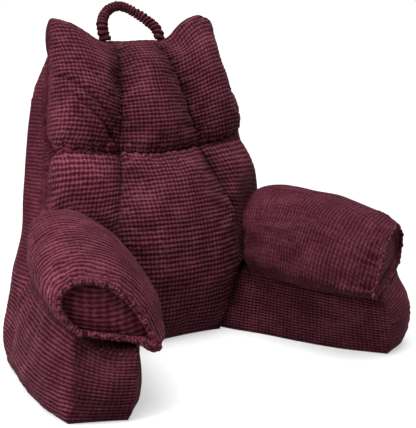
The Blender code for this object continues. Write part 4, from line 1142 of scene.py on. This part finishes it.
def bolster_body(cover, rings, kind, side, seed):
    """A bolster's long cover and its closed rear end."""
    closed = np.concatenate([rings, rings[:, :1]], axis=1)
    outward = closed - closed.mean(axis=1, keepdims=True)
    facing = np.cross(np.gradient(closed, axis=1), np.gradient(closed, axis=0))
    facing = unit(facing) * np.sign((facing * outward).sum())
    facing[:, 0] = facing[:, -1] = unit(facing[:, 0] + facing[:, -1])
    across, up, u, v = cells(closed, CROWN)
    above = closed[..., 2] - lowest(closed)
    before_bed = bed(closed[..., 0], closed[..., 2]) - GAP - closed[..., 1]
    calm = np.clip(above / ARM_CALM, 0, 1) * np.clip(before_bed / BED_CALM, 0, 1)
    ends = risen((up, up[-1:] - up), SEAM_FADE)
    flip = (side, 1, 1)
    closed = settled(closed * flip, sewn(closed) | (calm < 0.5), *BOLSTER_CLOTH) * flip
    puckers = gathers(across[-1:], up[-1:] - up, seed + 3, kind["pucker_reach"])
    height = (RIB_HEIGHT * kind["rib_depth"] * (ribs(u, v) - SUNK)
              + BOLSTER_LUMPS * LUMP_HEIGHT * waves(closed, LUMP_WAVES, seed)
              + kind["pucker"] * GATHER_HEIGHT * puckers)
    body = closed + (height * calm * ends)[..., None] * facing
    body[:, -1] = body[:, 0]
    # Painted shade from the crown to the foot; where it is negative it is a painted highlight.
    crown_shade, foot_shade = kind["shade"]
    low = 1 - np.clip(above / above.max(), 0, 1)
    cover.add(body, u, v, kind["worn"], kind["faded"], crown_shade + foot_shade * low)

    rear = rings[0].mean(axis=0)
    closing = rear + (closed[0] - rear) * np.array((1.0, *REAR_SHARES[::-1], 0.0))[:, None, None]
    closing[..., 1] = bed(closing[..., 0], closing[..., 2]) - GAP
    closing[0] = closed[0]
    cover.add(closing)


def bolster_cap(cover, front, forward, kind, seed):
    """A bolster's inset front cap and the short wall from it to the rolled seam."""
    middle = front.mean(axis=0)
    inset = middle + (front - middle) * CAP_SHARE - CAP_INSET * forward
    inset[:, 2] = np.maximum(inset[:, 2], lowest(inset))
    steps = shares(4)[:, None, None]
    wall = front[None] * (1 - steps) + inset[None] * steps
    cover.add(np.concatenate([wall, wall[:, :1]], axis=1))
    lefts, rights = inset[:CROWN + 1], inset[BOLSTER_OVER:CROWN - 1:-1]
    share = shares(BOLSTER_UNDER)[None, :, None]
    panel = lefts[:, None] * (1 - share) + rights[:, None] * share
    panel[0] = np.concatenate([inset[:1], inset[:BOLSTER_OVER - 1:-1]])[:BOLSTER_UNDER + 1]
    _, up = runs(panel)
    width = panel[:, -1, 0] - panel[:, 0, 0]
    bow = np.sin(np.pi * share[0, :, 0])[None]
    v = (panel[..., 2] - panel[0, :, 2].mean() + bow * CAP_SAG) / ROW_PITCH
    u = (panel[..., 0] - middle[0]) / CAP_COLUMN_PITCH
    belly = CAP_BELLY * bow * np.clip(up / CAP_TIP, 0, 1) * np.clip(width[:, None] / CAP_WIDE, 0, 1)
    shown = dressed(panel + belly[..., None] * forward, forward, u, v, seed, gather=0.0)
    # The cap's painted shade, a painted highlight where it is negative.
    cover.add(shown, u, v, CAP_PLAIN, CAP_FADED, kind["cap_painted_shade"])


def hem(cover, ring, forward, seed, kind):
    """The rolled, ruffled seam round the cap, as a closed tube with loops of pile."""
    line = along(np.concatenate([ring, ring[:1]]), HEM_POINTS)[:-1]
    ahead = unit(np.roll(line, -1, axis=0) - np.roll(line, 1, axis=0))
    radial = unit(np.cross(ahead, forward))
    if ((line - ring.mean(axis=0)) * radial).sum() < 0:
        radial = -radial
    run = lengths(np.concatenate([line, line[:1]]))[:-1]
    total = run[-1]
    turn = 2 * np.pi * run / total
    random = np.random.default_rng(seed)
    ruffle = sum(np.sin(k * turn + random.uniform(0, 6.28)) for k in HEM_WAVES) / HEM_WAVES_SIZE
    swell = np.exp(-(np.minimum(run, total - run) / BLOB_REACH) ** 2) * BLOB_GROW
    radius = kind["hem"] * (1 + HEM_RUFFLE * ruffle + swell)
    ruffle = ruffle[:, None]
    tip = kind["tip"] * np.exp(-np.abs(run / total - TIP_PLACE) / TIP_REACH)[:, None]
    angle = np.linspace(0, 2 * np.pi, HEM_SIDES, endpoint=False)
    pleats = (2 * np.pi * run[:, None] / HEM_PLEAT + PLEAT_STRAY * ruffle
              + PLEAT_TWIST * np.sin(angle))
    pleated, looped, fuzzy = HEM_LOOPS
    loops = pleated * np.sin(pleats) + looped * np.sin(3 * angle + pleats * 0.37)
    size = radius[:, None] * (1 + loops + fuzzy * random.normal(size=(HEM_POINTS, HEM_SIDES)))
    centre = line - radial * (HEM_INSET * kind["hem"] - tip) + forward * HEM_OUT * (1 + ruffle)
    tube = (centre[:, None] + (size * np.cos(angle))[..., None] * radial[:, None]
            + (size * np.sin(angle))[..., None] * forward)
    tube = np.concatenate([tube, tube[:, :1]], axis=1)
    cover.add(np.concatenate([tube, tube[:1]]))


def bolster(name, side):
    """One arm's bolster; side is 1 for +X and -1 for -X."""
    kind, seed = BOLSTERS[name], 50 + side
    rings = bolster_rings(kind)
    width = BOLSTER["x_out"][-1] - BOLSTER["x_in"][-1]
    turn = BOLSTER["turn"][-1] + END_TURN_SLOPE * kind["turned"] / width
    forward = unit((turn, -1.0, 0.0))
    cover = Cover(side)
    bolster_body(cover, rings, kind, side, seed)
    bolster_cap(cover, rings[-1], forward, kind, seed + 5)
    cover.build(name + "_cover", name, "cover", COVER, 0.8)
    roll = Cover(side)
    hem(roll, rings[-1], forward, seed + 7, kind)
    roll.build(name + "_hem", name, "cover", HEM, 0.8)


# ---------- the base
SIDE_CLOTH, REAR_CLOTH = (0.006, 0.6), (0.014, 0.8)
# Where the lower arms have slumped or swollen: the place on the arm at +X, the way, the reach,
# and how far it goes on the arm at +X and on the one at -X.
SLUMPS = (
    ((0.349, -0.263, 0.145), (-0.60, 0.60, -0.25), 0.034, 0.015, 0.006),
    ((0.357, -0.266, 0.000), (-0.72, 0.70, 0.0), 0.024, 0.006, 0.0),
    ((0.295, -0.285, 0.128), (0.0, 0.40, -0.92), 0.052, 0.002, 0.021),
    ((0.316, 0.145, 0.000), (-0.60, -0.80, 0.0), 0.030, 0.007, 0.013),
    ((0.367, -0.120, 0.000), (0.95, -0.30, 0.0), 0.120, 0.0, 0.008),
    ((0.357, -0.266, 0.000), (1.0, 0.15, 0.0), 0.035, 0.0, 0.008),
    ((0.340, 0.070, 0.080), (0.98, 0.20, 0.0), 0.080, 0.0, 0.006),
)
FOOT_ROUND = 0.012          # height over which the bottom edge turns
FOOT_DRAWN_IN = 0.0025      # and how far it goes in
# Painted shade on each arm's front cap and inner side, by the sign of X, and the reaches of
# the painted darker edge on the cap and of the painted highlight on the outer side next to it.
CAP_PAINTED_SHADE = {1: 0.0, -1: 0.20}
INNER_PAINTED_SHADE = {1: 0.15, -1: 0.0}
CAP_EDGE_REACH, SIDE_EDGE_REACH = 0.022, 0.030
# How far the cloth of each panel has worn plain or faded.
ARM_CAP_LOOK = {"plain": 0.2, "faded": 0.3}
SIDE_LOOK = {"plain": 0.75}
BORDER_LOOK = {"plain": 0.8, "faded": 0.5}


def side_panel(grid, *distances):
    """How far each point of the outer side swells, from its distances to the seams."""
    rise = risen((grid[..., 2],), FLOOR_REACH) * risen(distances, PUFF_REACH)
    return ARM_SIDE_PUFF * rise[..., None]


def table_points(table):
    """The points of a table of x, y and z, or of x and y on the floor."""
    columns = [table["x"], table["y"], table.get("z", np.zeros(len(table["x"])))]
    return np.stack(columns, axis=1).astype(float)


def slumped(points):
    """The points with the arms' corners slumped and their sides swollen."""
    shaped = points.copy()
    for corner, way, reach, *moves in SLUMPS:
        for side, far in zip((1, -1), moves):
            flip = np.array((side, 1, 1))
            distance = np.linalg.norm(points - np.array(corner) * flip, axis=-1)
            share = np.exp(-(distance / reach) ** 2)[..., None]
            shaped = shaped + far * share * np.array(way) * flip
    return shaped


def rounded_foot(points, outline):
    """The points near the floor drawn in, so that the bottom edge turns softly."""
    ahead = unit(np.roll(outline, -3, axis=0) - np.roll(outline, 3, axis=0))
    inwards = np.stack([-ahead[:, 1], ahead[:, 0], np.zeros(len(ahead))], axis=1)
    x, y = outline[:, 0], outline[:, 1]
    if (x * np.roll(y, -1) - y * np.roll(x, -1)).sum() < 0:
        inwards = -inwards
    shaped = points.copy()
    low = np.flatnonzero(points[:, 2] < FOOT_ROUND)
    apart = np.linalg.norm(points[low, None, :2] - outline[None, :, :2], axis=-1)
    share = (1 - points[low, 2] / FOOT_ROUND)[:, None] ** 2
    shaped[low] += FOOT_DRAWN_IN * share * inwards[apart.argmin(axis=1)]
    return shaped


def outer_side(floor, over, cap_edge, corner):
    """The swollen side of a lower arm and of the wedge behind it, down to the floor."""
    panel = fill(floor, over, cap_edge, corner)
    from_cap, _ = runs(panel)
    behind_arm = np.maximum(0, from_cap - from_cap[:, ARM_LENGTHS:ARM_LENGTHS + 1])
    from_top = np.hypot(behind_arm, panel[-1:, :, 2] - panel[..., 2])
    swell = side_panel(panel, from_cap, from_cap[:, -1:] - from_cap, from_top)
    return panel + swell * np.array((1.0, 0.0, 0.0))


def swollen_border(edge, edge_behind):
    """The border that runs from the front's edge to the rear's, up the side and over the top."""
    strip = np.linspace(edge, edge_behind, DEEP_COLUMNS + 1, axis=1)
    run = np.gradient(edge, axis=0)
    facing = unit(np.stack([run[:, 2], np.zeros(len(run)), -run[:, 0]], axis=1))
    facing[0], facing[-1] = (1.0, 0.0, 0.0), (0.0, 0.0, 1.0)
    from_front = np.linalg.norm(strip - strip[:, :1], axis=2)
    from_rear = np.linalg.norm(strip - strip[:, -1:], axis=2)
    return strip + side_panel(strip, from_front, from_rear) * facing[:, None]


def rear_panel(floor, rear_top, side):
    """The slightly swollen back panel, from its half at +X."""
    heights = np.linspace(0, rear_top[0, 2], SPINE_POINTS)
    middle = np.stack([0 * heights, 0 * heights, heights], axis=1)
    spine = along(rear_of(middle), LOW_ROWS + SIDE_ROWS)
    spine[-1] = rear_top[0]
    return puffed(both(fill(floor, rear_top, spine, side)), BACK_PUFF, (0.0, 1.0, 0.0))


def dress_arm(cover, s, cap, cap_facing, inner, arm_top, outer):
    """Adds the four panels of the lower arm on side s."""
    # The cap's painted shade, darker still towards its outer edge, and the painted highlight on the
    # outer side beside it.
    def cap_painted_shade(across):
        return CAP_PAINTED_SHADE[s] * (1 + 1.1 * np.exp((across - across[:, -1:]) / CAP_EDGE_REACH))

    def side_painted_highlight(across):
        return -0.5 * CAP_PAINTED_SHADE[s] * np.exp(-across / SIDE_EDGE_REACH)

    flip = np.array((s, 1, 1))
    cover.clothe(cap * flip, cap_facing * flip, 81 + s, shade=cap_painted_shade,
                 seams=(0, ARM_COLUMNS), **ARM_CAP_LOOK)
    # Painted shade on the inner side, between the arms.
    cover.clothe(inner * flip, np.array(ARM_INNER_FACING) * flip, 84 + s, shade=INNER_PAINTED_SHADE[s],
                 seams=(ARM_LENGTHS,), gather=0.8)
    across, up = runs(arm_top)
    u, v = across / COLUMN_PITCH, (up[-1:] - up) / ROW_PITCH
    shown = dressed(arm_top * flip, (0, 0, 1), u, v, 87 + s, lumps=0.0, gather=0.0, sunk=1.0)
    cover.add(shown, u, v)
    cloth = settled(outer * flip, sewn(outer), *SIDE_CLOTH)
    cover.clothe(cloth, (s, 0, 0), 90 + s, shade=side_painted_highlight, seams=(0,), gather=0.4, **SIDE_LOOK)


def base_body():
    """The wedge back and both lower arms: one filled cover, from its sewn panels."""
    side = on_back(SIDE_SEAM["x"], SIDE_SEAM["z"], -TUCK)
    top = on_back(TOP_SEAM["x"], TOP_SEAM["z"], -TUCK)
    seam_side, seam_top = along(side, SIDE_ROWS), along(top, MID_COLUMNS + ARM_COLUMNS)
    seam_top[-1] = seam_side[-1] = side[-1]
    rear_side, rear_top = rear_of(seam_side), rear_of(seam_top)
    top_in, top_out = table_points(ARM_TOP_IN), table_points(ARM_TOP_OUT)
    top_in[0] = on_back(ARM_TOP_IN["x"][0], ARM_TOP_IN["z"][0])
    top_out[0] = seam_side[0]
    top_in, top_out = along(top_in, ARM_LENGTHS), along(top_out, ARM_LENGTHS)
    floor_in = along(table_points(ARM_FLOOR_IN), ARM_LENGTHS)
    floor_out = table_points(ARM_FLOOR_OUT)
    floor_behind = along(floor_out[:2], DEEP_COLUMNS)[::-1]
    floor_beside = along(floor_out[1:], ARM_LENGTHS)
    foot_line = straight(on_back(0.0, 0.0), floor_in[0], 1)
    waist_line = straight(on_back(0.0, ARM_TOP_IN["z"][0]), top_in[0], 1)
    root_in = straight(foot_line[-1], waist_line[-1], LOW_ROWS)
    root_line = straight(waist_line[-1], seam_side[0], ARM_COLUMNS)
    corner = straight(floor_behind[-1], rear_side[0], LOW_ROWS)
    through = straight(seam_side[0], rear_side[0], DEEP_COLUMNS)
    bow = np.sin(np.linspace(0, np.pi, LOW_ROWS + 1))[:, None] * np.array(CAP_SEAM_BOW)
    cap_in = straight(floor_in[-1], top_in[-1], LOW_ROWS) + bow
    cap_out = straight(floor_beside[-1], top_out[-1], LOW_ROWS) + bow
    cap_foot = straight(cap_in[0], cap_out[0], ARM_COLUMNS)
    cap_top = straight(cap_in[-1], cap_out[-1], ARM_COLUMNS)
    cap_facing = unit(np.cross(cap_foot[-1] - cap_foot[0], (0, 0, 1)))
    floor_rear = straight(floor_behind[-1] * (0, 1, 0), floor_behind[-1], MID_COLUMNS + ARM_COLUMNS)

    cap = puffed(fill(cap_foot, cap_top, cap_in, cap_out), CAP_PUFF, cap_facing)
    inner = puffed(fill(floor_in, top_in, root_in, cap_in), ARM_INNER_PUFF, ARM_INNER_FACING)
    arm_top = fill(root_line, cap_top, top_in, top_out)
    inside = arm_top[1:-1, 1:-1]
    inside[..., 2] = perch(inside[..., 0], inside[..., 1]) - GAP
    outer = outer_side(np.concatenate([floor_beside[::-1], floor_behind[1:]]),
                       np.concatenate([top_out[::-1], through[1:]]), cap_out, corner)
    border = swollen_border(np.concatenate([seam_side, seam_top[-2::-1]]),
                            np.concatenate([rear_side, rear_top[-2::-1]]))
    rear = rear_panel(floor_rear, rear_top, np.concatenate([corner, rear_side[1:]]))

    cover = Cover()
    for s in (1, -1):
        dress_arm(cover, s, cap, cap_facing, inner, arm_top, outer)
        grid = border * (s, 1, 1)
        away = unit(grid - grid.mean(axis=(0, 1)))
        cover.clothe(grid, away, 93 + s, lumps=0.5, **BORDER_LOOK)
    rear = settled(rear, sewn(rear), *REAR_CLOTH)
    cover.clothe(rear, (0, 1, 0), 96, rear.shape[1] // 2, lumps=1.6)

    # The flat faces: the underside, then the front below and above the line between the arms.
    footprint = mirrored_loop(np.concatenate([
        foot_line, floor_in[1:], cap_foot[1:], floor_beside[-2::-1], floor_behind[1:],
        floor_rear[-2::-1]]))
    below = np.concatenate([foot_line, root_in[1:], waist_line[-2::-1]])
    above = np.concatenate([waist_line, root_line[1:], seam_side[1:], seam_top[-2::-1]])
    cover.outline(footprint)
    cover.outline(np.roll(mirrored_loop(below), 1, axis=0))
    cover.outline(mirrored_loop(above))
    cover.points = [dipped(rounded_foot(slumped(points), footprint)) for points in cover.points]
    cover.build("base_cover", "base_body", "cover", COVER, 0.75)


# ---------- the handle
HANDLE_FINE = 10            # rings for each ridge
HANDLE_SIDES = 36
HANDLE_BUMPS = 28           # ridges in sight along the tube
HANDLE_RIDGE_DEPTH = 0.0036
HANDLE_RIDGE_SHARP = 0.75
HANDLE_CREASES = 0.0004
HANDLE_LUMPS, HANDLE_LUMP_WAVES = 0.05, (0.013, 0.019, 0.03)
HANDLE_THICK = 0.0124
HANDLE_TAPER = 0.16         # how much thinner it is at its top
HANDLE_SLACK = 0.010        # how far its +X half has slumped inwards
SLACK_FROM, SLACK_RUN = 0.47, 0.50      # where along the tube, as shares of its length
SLACK_DOWN = 0.4            # and how far down against that
HANDLE_SPLAY = 0.007        # how far the foot on +X has slumped outwards
SPLAY_FROM, SPLAY_RUN = 0.55, 0.45


def handle():
    """The scrunched tube: its ridges run around it, and its feet are pressed flat."""
    foot = on_back(0.0, TOP_SEAM["z"][0], -0.5 * BACK_THICKNESS["t"][-1])
    half = np.stack([HANDLE["x"], foot[1] + np.array(HANDLE["back"]),
                     HANDLE_FOOT_Z + np.array(HANDLE["up"])], axis=1)
    line = along(np.concatenate([half * MIRROR, half[-2::-1]]), HANDLE_BUMPS * HANDLE_FINE)
    s = np.linspace(0, 1, len(line))
    ahead = unit(np.gradient(line, axis=0))
    ahead[0], ahead[-1] = (0, 0, 1), (0, 0, -1)
    slant = unit((0.0, -HANDLE["up"][-1], HANDLE["back"][-1]))
    to_foot = np.clip(np.minimum(s, 1 - s) / FOOT_SHARE, 0, 1)
    slack = np.sin(np.pi * np.clip((s - SLACK_FROM) / SLACK_RUN, 0, 1))
    splay = np.clip((s - SPLAY_FROM) / SPLAY_RUN, 0, 1) ** 1.3
    line[:, 0] += HANDLE_SET + HANDLE_SPLAY * splay
    line[:, 0] -= HANDLE_SLACK * slack
    line[:, 2] -= SLACK_DOWN * HANDLE_SLACK * slack + DIP * (1 - to_foot)
    s, to_foot = s[:, None], to_foot[:, None]
    facing = unit(slant * to_foot + (1 - to_foot) * np.array((0.0, -1.0, 0.0)))
    beside = unit(np.cross(ahead, facing))
    facing = np.cross(beside, ahead)

    angle = np.linspace(0, 2 * np.pi, HANDLE_SIDES, endpoint=False)
    sway = 0.16 * np.sin(angle + 9 * s) + 0.06 * np.sin(3 * angle + 31 * s)
    ridges = s * HANDLE_BUMPS + sway
    valley = 1 - np.abs(np.sin(np.pi * ridges)) ** HANDLE_RIDGE_SHARP
    lumps = 1 + HANDLE_LUMPS * waves(s * 0.3, HANDLE_LUMP_WAVES, 6)[:, None]
    twist = np.random.default_rng(5).uniform(0, 6.28)
    creases = HANDLE_CREASES * np.sin(7 * angle + twist + 40 * s)
    radius = (HANDLE_THICK * (1 - HANDLE_TAPER * np.sin(np.pi * s) ** 1.5) * lumps
              - HANDLE_RIDGE_DEPTH * valley + creases)
    thick = radius * (FOOT_FLAT + (1 - FOOT_FLAT) * to_foot)
    wide = radius * (FOOT_WIDE + (1 - FOOT_WIDE) * to_foot)
    rings = (line[:, None] + (wide * np.cos(angle))[..., None] * beside[:, None]
             + (thick * np.sin(angle))[..., None] * facing[:, None])
    cover = Cover()
    # Its weave follows the ridges, so their grooves take the pits' painted shade.
    cover.add(np.concatenate([rings, rings[:, :1]], axis=1), 0.5,
              np.concatenate([ridges, ridges[:, :1]], axis=1), 1.0)
    for ring in (rings[0], rings[-1]):
        cover.outline(ring)
    cover.build("handle_cover", "handle", "handle_cover", TIGHT, 0.6)


# ---------- stage, light and camera
AIM = (0.0, 0.0, 0.28)      # the point to which the lamps turn
FLOOR_REACH_OUT = 600.0
FLOOR_Z = -0.0006
FLOOR_GREYS = (0.19, 0.19, 0.19, 1.0), (0.21, 0.21, 0.21, 1.0)
FLOOR_GLOW = 0.50           # light of its own that keeps the pale floor's shadows soft
WHITE = (1.0, 1.0, 1.0, 1.0)
SKY_LINE = (0.02, 0.12)     # sine of the elevation at which the pale horizon starts and ends
SKY_PALE, SKY_DIM = 1.02, 0.27      # strength of the horizon and of the sky above it
# The photograph's camera: degrees, metres, and the focal length and the longer side in pixels.
AZIMUTH, ELEVATION, DISTANCE = -32.3, 12.4, 1.8
TARGET = (0.005, -0.059, 0.266)
FOCAL, PHOTO_SIDE = 961.0, 428.0
SENSOR = 36.0


def linked(name, data):
    """A new object in the scene."""
    thing = bpy.data.objects.new(name, data)
    bpy.context.scene.collection.objects.link(thing)
    return thing


def lamp(name, kind, place, width, power):
    """A soft lamp: a far SUN, width degrees wide, or a square AREA that fades as it goes."""
    data = bpy.data.lights.new(name, kind)
    data.energy = power
    if kind == "SUN":
        data.angle = np.radians(width)
    else:
        data.size = width
    thing = linked(name, data)
    thing.location = place
    thing.rotation_euler = (Vector(AIM) - Vector(place)).to_track_quat("-Z", "Y").to_euler()


def stage():
    """The pale floor and the pale surroundings."""
    far = FLOOR_REACH_OUT
    data = bpy.data.meshes.new("floor")
    corners = [(x, y, FLOOR_Z) for x, y in ((-far, -far), (far, -far), (far, far), (-far, far))]
    data.from_pydata(corners, [], [(0, 1, 2, 3)])
    material = bpy.data.materials.new("pale_floor")
    g = Graph(material)
    g.put(g.tree.nodes["Principled BSDF"], {
        "Base Color": g.mix(g.noise(60.0, 2.0, 0.5), *FLOOR_GREYS),
        "Emission Color": WHITE,
        "Emission Strength": FLOOR_GLOW,
        "Roughness": 0.9,
        "Specular IOR Level": 0.1,
    })
    data.materials.append(material)
    linked("floor", data)
    world = bpy.data.worlds.new("studio")
    g = Graph(world)
    way = g.node("SeparateXYZ", {0: g.node("TexCoord").outputs["Generated"]})
    shade = g.node("MapRange", {"Value": way.outputs["Z"], "From Min": SKY_LINE[0],
                                "From Max": SKY_LINE[1], "To Min": SKY_PALE, "To Max": SKY_DIM})
    g.put(g.tree.nodes["Background"], {"Strength": shade.outputs["Result"], "Color": WHITE})
    bpy.context.scene.world = world


def camera():
    """The camera at the photograph's angle."""
    azimuth, elevation = np.radians(AZIMUTH), np.radians(ELEVATION)
    back = Vector((np.sin(azimuth) * np.cos(elevation), -np.cos(azimuth) * np.cos(elevation),
                   np.sin(elevation)))
    data = bpy.data.cameras.new("camera")
    data.sensor_width = SENSOR
    data.lens = FOCAL * SENSOR / PHOTO_SIDE
    thing = linked("camera", data)
    thing.location = Vector(TARGET) + back * DISTANCE
    thing.rotation_euler = (-back).to_track_quat("-Z", "Y").to_euler()
    bpy.context.scene.camera = thing


camera()
stage()
lamp("top", "SUN", (-0.30, -0.30, 3.28), 50.0, 9.4)
lamp("fill", "SUN", (2.60, -1.50, 1.20), 70.0, 0.9)
lamp("side", "AREA", (-1.15, -0.28, 0.75), 0.5, 23.4)
bpy.context.scene.view_settings.view_transform = "Standard"

base_body()
head_cushion()
lumbar_cushion()
bolster("arm_bolster_left", -1)
bolster("arm_bolster_right", 1)
handle()
